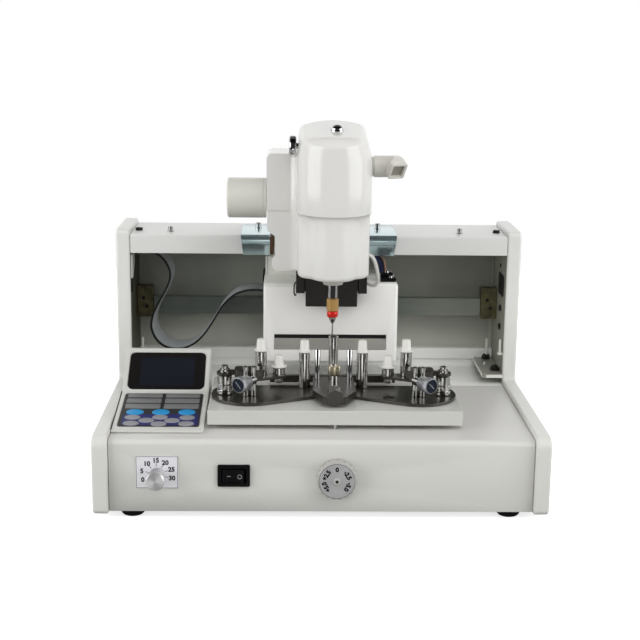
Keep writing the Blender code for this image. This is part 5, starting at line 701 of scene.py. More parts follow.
upper = facet((deep(0.080), 0.0652), (deep(0.114), 0.0880))
lower = facet((deep(0.0175), 0.0560), (deep(0.080), 0.0652), 0.002)
window_black = grained("window_black", "dark_window", (17, 14, 13), (0.10, 0.10), (60.0, 4.0),
                       sockets={"Coat Weight": 0.4})
piece("window", [slab(block(0.054, 0.0348, 0.0042, (0, -0.0010), 10), -0.0009, 0.0003, upper)],
      window_black, bevel=0.0003, stands_for="display_window")
panel_glow = grained("panel_glow", "dark_window", (25, 30, 39), (0.13, 0.10), (60.0, 4.0),
                     dark=(19, 22, 29), cloud=(25.0,))
piece("window_area", [slab(block(0.0385, 0.0265, 0.0006, (0.0003, -0.0022)), 0.00027, 0.00034,
                           upper)], panel_glow)
piece("console_seam", [slab(block(0.0006, 0.0610, centre=(-0.03055, 0.0)), -0.0012, 0.00015,
                            lower)], hole_shade_and_black)
membrane = grained("membrane", "key_sheet", (44, 44, 46), (0.38, 0.14), (240.0, 3.0),
                   relief=(0.000008, 1.0, 1600.0, 2.0))
PAD_WIDTH, PAD_HEIGHT = 0.054, 0.0525
piece("keypad", [slab(block(PAD_WIDTH, PAD_HEIGHT, 0.002), -0.0003, 0.0003, lower)], membrane,
      bevel=0.0002, stands_for="keypad_membrane")
night_blue = grained("night_blue", "key_sheet", (42, 44, 108), (0.34, 0.14), (240.0, 3.0))
piece("keypad_band", [slab(block(0.0505, 0.0165, 0.001, (0.0006, -0.01645)), 0.00025, 0.00036,
                           lower)], night_blue)


def keys(places, width, height, radius=None):
    """Domed keys: an ellipse, or a round-cornered outline where a radius is given, that shrinks
    a little towards its top. Places are shares of the pad, from its left and its top."""
    made = []
    for across, share in places:
        centre = ((across - 0.5) * PAD_WIDTH, (0.5 - share) * PAD_HEIGHT)
        rows = []
        for less, level in ((0.0, 0.00025), (0.00008, 0.00052), (0.00028, 0.00066),
                            (0.00060, 0.00072)):
            size = (width - 2 * less, height - 2 * less)
            ring = block(*size, radius - less, centre) if radius else disc(0.5) * size + centre
            rows.append(np.column_stack([ring, np.full(len(ring), level)]))
        made.append(skin(placed(np.array(rows), lower)))
    return made


def key_group(name, colour, made):
    finish = grained("key_" + name, "key_sheet", colour, (0.30, 0.16), (90.0, 2.0),
                     dark=shaded(colour, 0.9), relief=(0.000006, 1.0, 1600.0, 2.0))
    piece("keypad_%s_keys" % name, made, finish, crease=60)


grey_keys = []
for share, height in ((0.078, 0.0058), (0.240, 0.0068), (0.412, 0.0074)):
    grey_keys += keys([(0.258, share), (0.745, share)], 0.0240, height, 0.0010)
key_group("grey", (126, 127, 127), grey_keys)
key_group("blue", (44, 158, 222), keys([(0.176, 0.592), (0.501, 0.592), (0.829, 0.592)], 0.0119,
                                       0.0088))
key_group("silver", (152, 153, 158),
          keys([(0.162, 0.750), (0.505, 0.744), (0.843, 0.754), (0.342, 0.838), (0.661, 0.842),
                (0.160, 0.925), (0.501, 0.937), (0.841, 0.930)], 0.0106, 0.0074))

# ---------------------------------------------------------------------------------------------
# Speed control. A printed aluminium plate with a thin frame, figures and ticks, and a turned
# knob with a finely knurled side. The knob is pressed on a shaft that comes through the panel.

PANEL = facing(0.0039)
AHEAD = (0, -1, 0)
plate_metal = grained("plate_metal", "scale_plate", (242, 242, 246), (0.36, 0.12),
                      (500.0, 2.0, (0.05, 1.0, 1.0)), 0.1, (226, 226, 231),
                      sockets={"Specular IOR Level": 0.3})
ink = grained("black_ink", "scale_plate", (12, 12, 14), (0.55, 0.2), (400.0,),
              sockets={"Specular IOR Level": 0.2})
speed_middle = (-0.1078, 0.0327)
speed_axis = np.array((-0.1078, 0.0312))
piece("speed_plate", [slab(block(0.0277, 0.0222, centre=speed_middle), 0.0003, 0.0008, PANEL)],
      plate_metal, bevel=0.00012, stands_for="speed_scale_plate")


def hoop(outer, inner, low, high, base):
    """Flat ring between two outlines of equally many points."""
    rows = [np.column_stack([ring, np.full(len(ring), height)])
            for ring, height in ((outer, low), (outer, high), (inner, high), (inner, low))]
    return skin(placed(np.array(rows), base), looped=True)


def figures(text, height, centre, base, level, turn=0.0, weight=0.00009):
    """Printed figures: a text curve made a thin mesh, turned about its middle, laid on a base."""
    curve = bpy.data.curves.new("figures", "FONT")
    curve.body = text
    curve.size = height / 0.72
    curve.align_x = "CENTER"
    curve.align_y = "CENTER"
    curve.offset = weight
    curve.extrude = 0.00001
    curve.resolution_u = 3
    item = bpy.data.objects.new("figures", curve)
    mesh = bpy.data.meshes.new_from_object(item)
    points = np.empty(len(mesh.vertices) * 3)
    mesh.vertices.foreach_get("co", points)
    points = points.reshape(-1, 3)
    x = points[:, 0] * np.cos(turn) - points[:, 1] * np.sin(turn) + centre[0]
    y = points[:, 0] * np.sin(turn) + points[:, 1] * np.cos(turn) + centre[1]
    faces = [list(polygon.vertices) for polygon in mesh.polygons]
    bpy.data.objects.remove(item)
    return placed(np.column_stack([x, y, points[:, 2] + level]), base), faces


def ticks(axis, angles, near, far, width, low, high, base):
    """Radial marks about an axis: thin bars turned to each angle."""
    made = []
    for angle in angles:
        out = np.array((np.cos(angle), np.sin(angle)))
        across = np.array((-out[1], out[0])) * width / 2
        corners = [axis + out * near - across, axis + out * far - across,
                   axis + out * far + across, axis + out * near + across]
        made.append(slab(corners, low, high, base))
    return made


speed_angles = np.radians(np.linspace(203.0, -16.0, 7))
speed_print = [hoop(block(0.0271, 0.0216, centre=speed_middle),
                    block(0.0266, 0.0211, centre=speed_middle), 0.00075, 0.00083, PANEL)]
speed_print += ticks(speed_axis, speed_angles, 0.0055, 0.0078, 0.00032, 0.00075, 0.00083, PANEL)
for number, angle in zip(range(0, 35, 5), speed_angles):
    spot = speed_axis + np.array((np.cos(angle), np.sin(angle))) * (0.0101, 0.0095)
    speed_print.append(figures(str(number), 0.0031, spot, PANEL, 0.00083, weight=0.00019))
piece("speed_figures", speed_print, ink)

turned_metal = Finish("turned_aluminium", "aluminium", (222, 222, 223), 0.22, 0.55)
knob_x = turned_metal.coordinate("X") - float(speed_axis[0])
knob_z = turned_metal.coordinate("Z") - float(speed_axis[1])
knob_reach = turned_metal.node("ShaderNodeMath", {"operation": "SQRT"},
                               {0: knob_x * knob_x + knob_z * knob_z})
turned_metal.bumped(knob_reach.wave(2600.0) * 0.5 + 0.5, 0.00003, 0.7)
turned_metal.feed("Roughness", 0.2 + turned_metal.noise(300.0) * 0.1)
knob_angle = knob_z.worked("ARCTAN2", knob_z, knob_x)
# Light and dark sectors round the knob's face are painted into its colour: a painted reflection of
# the turned finish.
knob_painted_sheen = turned_metal.node("ShaderNodeMath", {"operation": "SINE"}, {0: knob_angle * 2.0 + 0.9})
turned_metal.feed("Base Color", turned_metal.mixed(knob_painted_sheen * 0.5 + 0.5, (186, 186, 187),
                                                   (238, 238, 239)))
knob_profile = [(0.0046, 0.0), (0.0047, 0.0003), (0.0048, 0.0078), (0.0052, 0.0084),
                (0.0060, 0.0088), (0.0062, 0.0092), (0.0062, 0.0134), (0.0059, 0.0138),
                (0.0059, 0.0141), (0.0055, 0.0145), (0.0004, 0.0145)]
knob_swell = [0.0, 0.00009, 0.00009, 0.0, 0.0, 0.00009, 0.00009, 0.0, 0.0, 0.0, 0.0]
knob_seat = (speed_axis[0], deep(0.0028), speed_axis[1])
knob = turned(knob_profile, knob_seat, AHEAD, 288, 48, knob_swell)
piece("speed_dial", [knob], turned_metal, "speed_knob", stands_for="speed_knob")

# ---------------------------------------------------------------------------------------------
# Rocker switch. A black moulded frame snapped into the panel, and a rocker with a bar and a ring
# for on and off. It tips about an upright pin.

black_moulded = grained("black_moulded", "black_plastic", (4, 4, 5), (0.24, 0.16), (200.0, 3.0),
                        relief=(0.00001, 1.0, 1400.0, 2.0), sockets={"Specular IOR Level": 0.2})
refined("switch_bezel", "switch_frame", black_moulded, bevel=0.0003)
rocker_axis = np.array((-0.0578, deep(0.0041)))
rocker_middle = 0.0306
cosine, sine = np.cos(np.radians(-7)), np.sin(np.radians(-7))


def tipped(points):
    """Points of the level rocker turned with it about its pin."""
    points = np.asarray(points, float)
    x = points[..., 0] * cosine - points[..., 1] * sine
    y = points[..., 0] * sine + points[..., 1] * cosine
    return np.stack([x, y], -1) + rocker_axis


hollow = np.linspace(-0.0072, 0.0072, 25)
front_line = np.column_stack([hollow, -0.0032 + 0.0008 * (1 - (hollow / 0.0072) ** 2)])
rocker_outline = tipped(np.concatenate([front_line, [(0.0064, 0.0015), (0.0, 0.0030),
                                                     (-0.0064, 0.0015)]]))
piece("rocker", [slab(rocker_outline, rocker_middle - 0.00455, rocker_middle + 0.00455)],
      black_moulded, "switch_rocker", bevel=0.0003, stands_for="switch_rocker")
switch_print = grained("switch_print", "black_plastic", (150, 152, 154), (0.4, 0.15), (300.0,))
marks = []
for side in (-1, 1):
    spot = tipped((0.0008 + side * 0.0036, -0.0028))
    lean = tipped((0.0018 + side * 0.0036, -0.0028 - side * 0.00013)) - spot
    lean /= np.linalg.norm(lean)
    base = ((*spot, rocker_middle), (*lean, 0), UP)
    marks.append(slab(block(0.0024, 0.0003), 0.0, 0.0005, base) if side < 0
                 else hoop(disc(0.0015), disc(0.0012), 0.0, 0.0005, base))
piece("rocker_marks", marks, switch_print, "switch_rocker")

# ---------------------------------------------------------------------------------------------
# Offset dial. A white moulded hand wheel with a scalloped rim, a grey scale face with figures,
# and a screw in its middle. It turns the spindle that moves the table to and fro.

dial_white = moulded("dial_white", (184, 183, 178), grain=1500.0)
dial_seat = (0.0095, deep(0.0036), 0.0293)
dial_rim = [(0.0126, 0.0), (0.0129, 0.0004), (0.0129, 0.0064), (0.0126, 0.0069),
            (0.0120, 0.0070), (0.0119, 0.0074), (0.0004, 0.0074)]
dial_swell = [0.00034, 0.00038, 0.00038, 0.00034, 0.00012, 0.0, 0.0]
piece("dial_wheel", [turned(dial_rim, dial_seat, AHEAD, 216, 18, dial_swell)], dial_white,
      "offset_dial", stands_for="offset_dial", crease=50)
dial_grey = grained("dial_grey", "scale_plate", (178, 177, 178), (0.4, 0.15), (120.0, 3.0),
                    dark=(154, 153, 155))
piece("dial_face", [turned([(0.0118, 0.0073), (0.0118, 0.0078), (0.0004, 0.0078)], dial_seat, AHEAD,
                           96)], dial_grey, "offset_dial", bevel=0.0001)
dial_base = (dial_seat, (1, 0, 0), UP)
dial_print = []
for text, angle in (("0", 90.0), ("+2.5", 149.0), ("-2.5", 31.0), ("+5.0", 208.0), ("-5.0", -28.0)):
    out = np.array((np.cos(np.radians(angle)), np.sin(np.radians(angle))))
    dial_print.append(figures(text, 0.0029, out * 0.0079, dial_base, 0.0078,
                              np.radians(angle - 90.0), 0.00026))
dial_print.append(hoop(disc(0.0118, steps=96), disc(0.0116, steps=96), 0.0077, 0.00783, dial_base))
piece("dial_figures", dial_print, ink, "offset_dial")
piece("dial_washer", [turned([(0.0025, 0.0077), (0.0025, 0.0083), (0.0022, 0.0086),
                              (0.0003, 0.0086)], dial_seat, AHEAD, 40)], dial_white, "offset_dial")
piece("dial_screw", [turned([(0.0010, 0.0085), (0.0010, 0.0088), (0.0008, 0.0089),
                             (0.0002, 0.0087)], dial_seat, AHEAD, 28)], hole_shade_and_black, "offset_dial")

# Inlet and board. A black mains inlet stands in the rear wall. The green control board lies in
# the base on four posts, with its transformer, heat sink and capacitor.


def mill(node, finish):
    """Gives a CAD node that keeps its own shape the finish in all its material slots."""
    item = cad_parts[node]
    item.data.materials.clear()
    item.data.materials.append(finish.material)


refined("inlet", "power_inlet", black_moulded, bevel=0.0002)
mill("circuit_board", grained("board_green", None, (28, 84, 50), (0.3, 0.2),
                              (260.0, 5.0, (1.0, 4.0, 1.0)), dark=(52, 116, 74)))

# ---------------------------------------------------------------------------------------------
# Ribbon cable. A flat grey cable of parallel wires that sags from the beam's left end and rises
# to the carriage. Its front edge is dark.


def smooth_line(points, spans=10):
    """Catmull-Rom curve: each span blends its four nearest points by the usual cubic."""
    points = np.asarray(points, float)
    padded = np.concatenate([2 * points[:1] - points[1:2], points, 2 * points[-1:] - points[-2:-1]])
    share = np.linspace(0, 1, spans, endpoint=False)[None, :, None]
    first, second, third, fourth = (padded[i:len(padded) - 3 + i][:, None, :] for i in range(4))
    bend = (2 * second + (third - first) * share
            + (2 * first - 5 * second + 4 * third - fourth) * share ** 2
            + (3 * second - first - 3 * third + fourth) * share ** 3) / 2
    return np.concatenate([bend.reshape(-1, points.shape[1]), points[-1:]])


ribbon_route = np.array([
    (0.0112, 0.1515), (0.0186, 0.1499), (0.0239, 0.1451), (0.0272, 0.1391), (0.0281, 0.1336),
    (0.0270, 0.1281), (0.0236, 0.1206), (0.0194, 0.1130), (0.0153, 0.1047), (0.0134, 0.0970),
    (0.0137, 0.0915), (0.0163, 0.0852), (0.0203, 0.0807), (0.0250, 0.0780), (0.0325, 0.0768),
    (0.0399, 0.0781), (0.0473, 0.0823), (0.0542, 0.0897), (0.0610, 0.1001), (0.0664, 0.1092),
    (0.0719, 0.1154), (0.0786, 0.1203), (0.0880, 0.1227), (0.0985, 0.1225)])
ribbon_route[:, 0] -= INNER_FACE
ribbon_grey = Finish("ribbon_grey", "grey_cable", (150, 152, 152), 0.38)
ribbon_y = ribbon_grey.coordinate("Y")
wires = ribbon_y.wave(1 / 0.00127)
ribbon_tone = ribbon_grey.mixed(wires * 0.4 + 0.4, (206, 210, 211), (120, 125, 129))
ribbon_grey.feed("Base Color", ribbon_grey.mixed(ribbon_y < deep(0.1592), ribbon_tone,
                                                 (18, 19, 20)))
ribbon_grey.feed("Roughness", 0.30 + ribbon_grey.noise(120.0) * 0.2)
ribbon_grey.bumped(wires * 0.5 + 0.5, 0.0003, 0.8)
ribbon_line = smooth_line(ribbon_route) * (-1, 1)
ribbon_lean = np.sin(np.linspace(0, np.pi, len(ribbon_line)))[:, None] * (-0.10, 0.04)
ribbon_rows = [np.column_stack([strip(ribbon_line + ribbon_lean * depth, 0.0013),
                                np.full(2 * len(ribbon_line), depth)])
               for depth in np.linspace(0.0, 0.024, 13)]
ribbon_base = ((0, deep(0.1575), 0), (-1, 0, 0), UP)
piece("ribbon", [skin(placed(np.array(ribbon_rows), ribbon_base))], ribbon_grey,
      ("frame", "carriage", (-0.122, 0, 0.12), (-0.048, 0, 0.12)), stands_for="ribbon_cable",
      crease=40)

# ---------------------------------------------------------------------------------------------
# Carriage. A painted housing under the beam with a riser at its left, a recess with a bare
# satin name plate, a steel runner behind on the rail, and a terminal block with wires on top.

# The column's white is painted lighter than the rest of the paint as painted light, and the riser's
# upper left is painted darker as painted shade.
lit_column_paint = painted("lit_column_paint", (247, 246, 243))
riser = (lit_column_paint.coordinate("Z") > 0.1335) * (lit_column_paint.coordinate("X") < -0.010)
column_tone = lit_column_paint.mixed(lit_column_paint.noise(14.0, 3.0), lit_column_paint.colour,
                                 (233, 232, 228))
lit_column_paint.feed("Base Color", lit_column_paint.mixed(riser, column_tone, (224, 224, 217)))
refined("column", "column_cover", lit_column_paint, "carriage", bevel=0.0005)
piece("recess_shadow_strip", [slab(block(0.0814, 0.0028, centre=(0.008, 0.0966)), 0.0, 0.0004,
                                   facing(0.1192))], hole_shade_and_black, "carriage")
satin = grained("satin_plate", "aluminium", (190, 188, 181), (0.28, 0.16),
                (400.0, 2.0, (0.04, 1.0, 1.0)), 0.35, (168, 166, 159))
piece("bare_name_plate", [slab(block(0.0812, 0.0084, 0.0008, (0.008, 0.0911)), -0.0009, -0.0002,
                               facing(0.118))],
      satin, "carriage", bevel=0.00015, stands_for="name_plate")
mill("rail_runner", grained("bare_steel", None, (150, 151, 150), (0.32, 0.25), (60.0, 4.0), 1.0,
                            relief=(0.000008, 1.0, 1500.0, 2.0, (0.1, 1.0, 1.0))))

teeth = [slab(block(0.0011, 0.0013, 0.0003, (-0.0391, deep(0.1500)), 3),
              0.1376 + step * 0.0019, 0.1388 + step * 0.0019) for step in range(7)]
edging = slab(block(0.0009, 0.006, 0.0003, (-0.0393, deep(0.1525)), 3), 0.1362, 0.1508)
piece("riser_edging", teeth + [edging], white_paint, "carriage")
clamp = slab(block(0.0014, 0.024, 0.0004, (-0.0413, deep(0.1695)), 3), 0.1190, 0.1352)
piece("ribbon_clamp", [clamp], black_moulded, "carriage", bevel=0.0002)

terminal_black = grained("terminal_black", "black_plastic", (14, 14, 15), (0.12, 0.12),
                         (260.0, 2.0))
terminal_case = slab(block(0.0114, 0.0052, 0.0006, (0.050, deep(0.1266)), 3), 0.1365, 0.1392)
terminal_step = slab(block(0.0092, 0.0048, 0.0006, (0.0489, deep(0.1315)), 3), 0.1365, 0.1420)
piece("terminals", [terminal_case, terminal_step], terminal_black, "carriage", bevel=0.0003,
      stands_for="terminal_block")
terminal_screws = [turned([(0.0014, 0.0), (0.0014, 0.0008), (0.0012, 0.0014), (0.0006, 0.0017),
                           (0.0002, 0.0017)], (x, deep(depth), height), UP, 24)
                   for x, depth, height in ((0.0516, 0.1264, 0.1390), (0.0492, 0.1314, 0.1418))]
piece("terminal_screws", terminal_screws, bright_steel, "carriage")


def pipe(route, radius, sides=16, spans=8):
    """Round lead along a route: a circle stands square to the path at each of its points. Its two
    directions come from the path's own step and a fixed helper direction that never meets it."""
    line = smooth_line(route, spans)
    step = np.gradient(line, axis=0)
    step /= np.linalg.norm(step, axis=1, keepdims=True)
    spread = line.max(0) - line.min(0)
    helper = np.eye(3)[int(np.argmin(spread))] + np.array((0.013, 0.017, 0.019))
    first = np.cross(helper, step)
    first /= np.linalg.norm(first, axis=1, keepdims=True)
    second = np.cross(step, first)
    turn = np.linspace(0, 2 * np.pi, sides, endpoint=False)[None, :, None]
    ring = first[:, None, :] * np.cos(turn) + second[:, None, :] * np.sin(turn)
    return skin(line[:, None, :] + ring * radius)


def sheathed(name, slot, colour):
    """Soft cable sheath with a slight gloss and faint kinks of tone."""
    return grained(name, slot, colour, (0.32, 0.2), (160.0, 3.0), dark=shaded(colour, 0.86),
                   relief=(0.00003, 0.5))


wire_loop = np.array([
    (0.0454, 0.1325, 0.1405), (0.0458, 0.1355, 0.1415), (0.0460, 0.1385, 0.1440),
    (0.0454, 0.1425, 0.1480), (0.0440, 0.1465, 0.1498), (0.0422, 0.1510, 0.1508),
    (0.0424, 0.1560, 0.1495), (0.0448, 0.1590, 0.1450), (0.0460, 0.1590, 0.1357)]) + (0, FRONT, 0)
for label, colour, shift in (("blue", (34, 42, 88), 0.0), ("black", (30, 28, 30), 0.0012),
                             ("brown", (168, 124, 108), 0.0026)):
    piece(label + "_wire", [pipe(wire_loop + (shift, 0, 0), 0.0007, 10, 6)],
          sheathed(label + "_sheath", "grey_cable", colour), "carriage")

refined("guide", "slide_guide", black_metal, "carriage")
hook_bend = np.array([(-0.0172, 0.1100, 0.1385), (-0.0182, 0.1095, 0.1378),
                      (-0.0187, 0.1090, 0.1350), (-0.0187, 0.1090, 0.1312),
                      (-0.0180, 0.1088, 0.1292), (-0.0172, 0.1086, 0.1300)]) + (0, FRONT, 0)
piece("wire_hook", [pipe(hook_bend, 0.00055, 10, 6)], black_metal, "carriage")

# ---------------------------------------------------------------------------------------------
# Drilling head. A moulded white cover in two stages: a half round upper one with a sloping
# crowned top, and a lower one with a round nose between two flanks. A black plate carries it.

HEAD_X = 0.008
HEAD_Y = deep(0.080)
HEAD_RADIUS = 0.0258
TOP_HEIGHT, TOP_SLOPE = 0.2493, 0.18
gloss_white = moulded("gloss_white", (228, 227, 223), 0.2, relief=0.000006)
gloss_white.feed("Coat Weight", 0.45)
gloss_white.feed("Coat Roughness", 0.1)
front_turn = np.linspace(np.pi, 2 * np.pi, 97)


def head_ring(reach, height):
    """One ring of the cover: a front curve whose distance from the spindle axis is given for each
    direction of a half turn, closed by straight sides and the flat rear."""
    reach = np.broadcast_to(reach, front_turn.shape)
    x = np.concatenate([reach * np.cos(front_turn), reach[-1:], reach[-1:], -reach[:1], -reach[:1]])
    y = np.concatenate([reach * np.sin(front_turn), [0.013, 0.026, 0.026, 0.013]])
    return np.column_stack([x, y, np.broadcast_to(height, x.shape)])


def nose_reach():
    """Lower stage: distance to a nose circle set forward of the axis, and to a rounded box for
    the flanks. Their soft maximum, the logarithm of the sum of their powers, joins them."""
    across, along = np.abs(np.cos(front_turn)), np.abs(np.sin(front_turn))
    nose = 0.0076 * along + np.sqrt(0.0157 ** 2 - (0.0076 * across) ** 2)
    flank = ((across / 0.0246) ** 2.6 + (along / 0.0102) ** 2.6) ** (-1 / 2.6)
    return np.log(np.exp(300 * nose) + np.exp(300 * flank)) / 300


def crowned(ring, drop):
    """Lays a ring on the sloping top: up towards the rear, down towards both sides."""
    slope = TOP_HEIGHT + TOP_SLOPE * ring[:, 1] - 0.0050 * (ring[:, 0] / HEAD_RADIUS) ** 2
    return np.column_stack([ring[:, :2], slope - drop])


def along_ring(values):
    """A value for each direction of the half turn, kept level along the sides and the rear."""
    return np.concatenate([values, values[-1:], values[-1:], values[:1], values[:1]])


low_reach = nose_reach()
rings = []
for step in np.linspace(0, np.pi / 2, 7):
    rings.append(head_ring(low_reach - 0.0036 * (1 - np.sin(step)),
                           0.1482 + 0.0036 * (1 - np.cos(step))))
for share, height in ((0.0, 0.1650), (0.0, 0.1800), (0.0, 0.1885), (0.04, 0.1903), (0.16, 0.1916),
                      (0.42, 0.1926), (0.80, 0.1931), (0.97, 0.1934), (1.0, 0.1941),
                      (1.0, 0.2100)):
    rings.append(head_ring(low_reach * (1 - share) + HEAD_RADIUS * share, height))
side_share = np.cos(front_turn)
draft = np.where(side_share > 0, 0.0034, 0.0012) * side_share ** 2
shoulder = 0.0046 + 0.0022 * np.sin(front_turn) ** 2
draft_foot = 0.226
for share in (0.0, 0.2, 0.4, 0.6, 0.8, 0.9):
    ring = crowned(head_ring(HEAD_RADIUS - draft * share ** 2, 0.0), along_ring(shoulder))
    rings.append(np.column_stack([ring[:, :2], draft_foot + (ring[:, 2] - draft_foot) * share]))
for step in np.linspace(0, np.pi / 2, 11):
    rings.append(crowned(head_ring(HEAD_RADIUS - draft - shoulder * (1 - np.cos(step)), 0.0),
                         along_ring(shoulder * (1 - np.sin(step)))))
for share in (0.8, 0.6, 0.4, 0.2, 0.03):
    rings.append(crowned(head_ring((HEAD_RADIUS - draft - shoulder) * share, 0.0), 0.0))
piece("head_shell", [skin(np.array(rings) + (HEAD_X, HEAD_Y, 0))], gloss_white, "head",
      stands_for="head_cover", crease=48)

case_left, case_floor, case_step = -0.0236, 0.1500, 0.1935
upper_corners = [(case_left, 0.1926), (case_left, 0.232), (-0.0464, 0.232), (-0.0464, 0.1926)]
upper_case = slab(filleted(upper_corners, (1e-5, 1e-5, 0.0042, 0.0006)), -0.040, 0.0,
                  facing(0.092, HEAD_X))
lower_corners = [(case_left, case_floor), (case_left, case_step), (-0.0458, case_step),
                 (-0.0458, 0.1780), (-0.0404, 0.1745), (-0.0404, 0.1606), (-0.0425, 0.1585),
                 (-0.0425, case_floor)]
lower_case = slab(filleted(lower_corners, (1e-5, 1e-5, 1e-5, 0.003, 0.002, 0.001, 0.001, 0.0045)),
                  -0.0392, -0.0007, facing(0.092, HEAD_X))
piece("belt_case", [upper_case, lower_case], gloss_white, "head", bevel=0.0026,
      stands_for="belt_housing", crease=50)
valley_reach = 0.0062
valley = np.linspace(0, np.pi / 2, 12)
valley_bow = np.stack([np.cos(valley), np.sin(valley)], -1) * valley_reach
valley_line = np.concatenate([[(-0.0240, 0.0140)], valley_bow + (-0.0318, valley_reach),
                              [(-0.0318, 0.0140)]])[::-1]
valley_rows = [np.column_stack([valley_line + (HEAD_X + shift, HEAD_Y),
                                np.full(len(valley_line), height)])
               for shift, height in ((0.0018, 0.1512), (0.0009, 0.1530), (0.0009, 0.1905),
                                     (0.0, case_step), (0.0, 0.2290), (0.0030, 0.2318))]
piece("belt_case_valley", [skin(np.array(valley_rows))], gloss_white, "head", crease=60)
plug = turned([(0.0007, -0.0002), (0.0007, 0.0002), (0.0002, 0.0003)],
              (-0.0205, deep(0.092), 0.2203), AHEAD, 20)
piece("belt_case_plug", [plug], white_paint, "head")
pad_brown = grained("pad_brown", "black_plastic", (72, 50, 30), (0.42, 0.2), (300.0, 3.0),
                    relief=(0.00003, 1.0, 900.0, 3.0))
pad = slab(block(0.0028, 0.0129, 0.0006, (-0.0346, 0.16765)), -0.030, -0.0014, facing(0.092))
piece("belt_case_pad", [pad], pad_brown, "head", bevel=0.0003)
motor_white = moulded("motor_white", (215, 214, 206))
motor_profile = [(0.0141, 0.0), (0.0141, 0.0016), (0.0138, 0.0018), (0.0138, 0.0021),
                 (0.0141, 0.0023), (0.0141, 0.0259), (0.01395, 0.0266), (0.0135, 0.0271),
                 (0.0125, 0.0275), (0.0004, 0.0275)]
piece("motor_case", [turned(motor_profile, (-0.0387, deep(0.112), 0.1988), (-1, 0, 0), 96)],
      motor_white, "head", stands_for="side_motor", crease=30)
carrier = slab(block(0.037, 0.0068, 0.0004, (HEAD_X, deep(0.1097)), 3), 0.1215, 0.240)
piece("carrier_plate", [carrier], black_metal, "head", bevel=0.0004, stands_for="slide_plate")

# Cap nut and clamping knob. Polished chrome: an acorn nut with a round foot on the cover's top,
# and a round pull knob on its left flank.

chrome = grained("chrome", "chrome", (218, 218, 219), (0.05, 0.02), (180.0, 3.0), 1.0,
                 (196, 196, 197))
nut_place = (HEAD_X + 0.0014, HEAD_Y, TOP_HEIGHT - 0.0005 - TOP_SLOPE * 0.0048 + 0.0006)
dome = np.linspace(0.0, np.pi / 2 - 0.06, 12)
nut_dome = np.column_stack([0.0045 * np.cos(dome), 0.0010 + 0.0036 * np.sin(dome)])
piece("acorn_nut", [turned([(0.0048, 0.0), (0.0048, 0.0006), (0.0045, 0.0009)], nut_place, UP),
                    turned([(0.0045, -0.0006), *nut_dome], nut_place, UP)],
      chrome, "head", stands_for="cap_nut")
pull_place = (HEAD_X - 0.0261, deep(0.084), 0.238)
pull_profile = [(0.0060, 0.0), (0.0067, 0.0004), (0.0070, 0.0012), (0.0070, 0.0036),
                (0.0067, 0.0044), (0.0060, 0.0049), (0.0040, 0.0052), (0.0003, 0.0052)]
piece("pull_knob", [turned(pull_profile, pull_place, (-1, 0, 0), 64),
                    turned([(0.002, -0.004), (0.002, 0.0004)], pull_place, (-1, 0, 0), 24)],
      chrome, "side_knob", stands_for="side_knob")

# Lamp arm. A white tube on the right flank with a closed round elbow, from which a square lamp
# mouth looks down at the work. It swivels on the flank.

arm_seat = Vector((HEAD_X + 0.0261, deep(0.088), 0.2242))
arm_yaw, arm_pitch = np.radians((24.0, 33.0))
arm_end = Vector((np.sin(arm_yaw) * np.cos(arm_pitch), -np.cos(arm_yaw) * np.cos(arm_pitch),
                  -np.sin(arm_pitch)))
arm_up = (Vector(UP) - arm_end * arm_end.z).normalized()
arm_side = arm_up.cross(arm_end)


def arm_section(centre, out, side, size, power):
    """Cross-section of the arm: a superellipse, |a/s|^p + |b/s|^p = 1, that is a circle at a
    power of 2 and nearly a square at a high one."""
    turn = np.linspace(0, 2 * np.pi, 64, endpoint=False)
    reach = (np.abs(np.cos(turn)) ** power + np.abs(np.sin(turn)) ** power) ** (-1 / power) * size
    up = np.cross(out, side)
    return (np.asarray(centre) + np.outer(reach * np.cos(turn), side)
            + np.outer(reach * np.sin(turn), up))


arm_rows = [arm_section(arm_seat + Vector((reach, 0, 0)), (1, 0, 0), (0, 1, 0), size, 2.0)
            for reach, size in ((0.0, 0.0066), (0.0009, 0.0066), (0.0012, 0.0074),
                                (0.0095, 0.0074))]
mouth_seat = arm_seat + Vector((0.0168, -0.0112, -0.0024)) - arm_end * 0.0030
bend = [arm_seat + Vector((0.0095, 0, 0)), arm_seat + Vector((0.0172, 0, 0.0004)),
        mouth_seat - arm_end * 0.0062, mouth_seat]
for share in np.linspace(0.1, 1.0, 12):
    weights = ((1 - share) ** 3, 3 * share * (1 - share) ** 2, 3 * share ** 2 * (1 - share),
               share ** 3)
    centre = sum((point * weight for point, weight in zip(bend, weights)), Vector((0, 0, 0)))
    out = Vector((1, 0, 0)).lerp(arm_end, share).normalized()
    across = Vector((0, 1, 0)).lerp(arm_side, share).normalized()
    across = (across - out * across.dot(out)).normalized()
    arm_rows.append(arm_section(centre, out, across, 0.0074 - 0.0012 * share,
                                2.0 + 5.0 * share ** 2))
for reach, size, power in ((0.0006, 0.0060, 9.0), (0.0008, 0.0055, 9.0), (0.0019, 0.0055, 12.0),
                           (0.0020, 0.0060, 12.0), (0.0030, 0.0060, 12.0), (0.0031, 0.0058, 12.0),
                           (0.0031, 0.0048, 12.0), (0.0030, 0.0046, 12.0), (0.0004, 0.0045, 12.0)):
    arm_rows.append(arm_section(mouth_seat + arm_end * reach, arm_end, arm_side, size, power))
arm_stem = turned([(0.004, -0.0035), (0.004, 0.0004)], arm_seat, (1, 0, 0), 32)
piece("lamp_tube", [skin(np.array(arm_rows)), arm_stem], moulded("arm_white", (219, 217, 210)),
      "lamp_arm", stands_for="lamp_arm", crease=40)
lens_glass = grained("lamp_lens", "dark_window", (150, 147, 136), (0.34, 0.15), (200.0,))
lens_glass.bumped(lens_glass.coordinate("X").wave(900.0) * 0.5 + 0.5, 0.00004)
mouth_base = (mouth_seat, arm_side, arm_end.cross(arm_side))
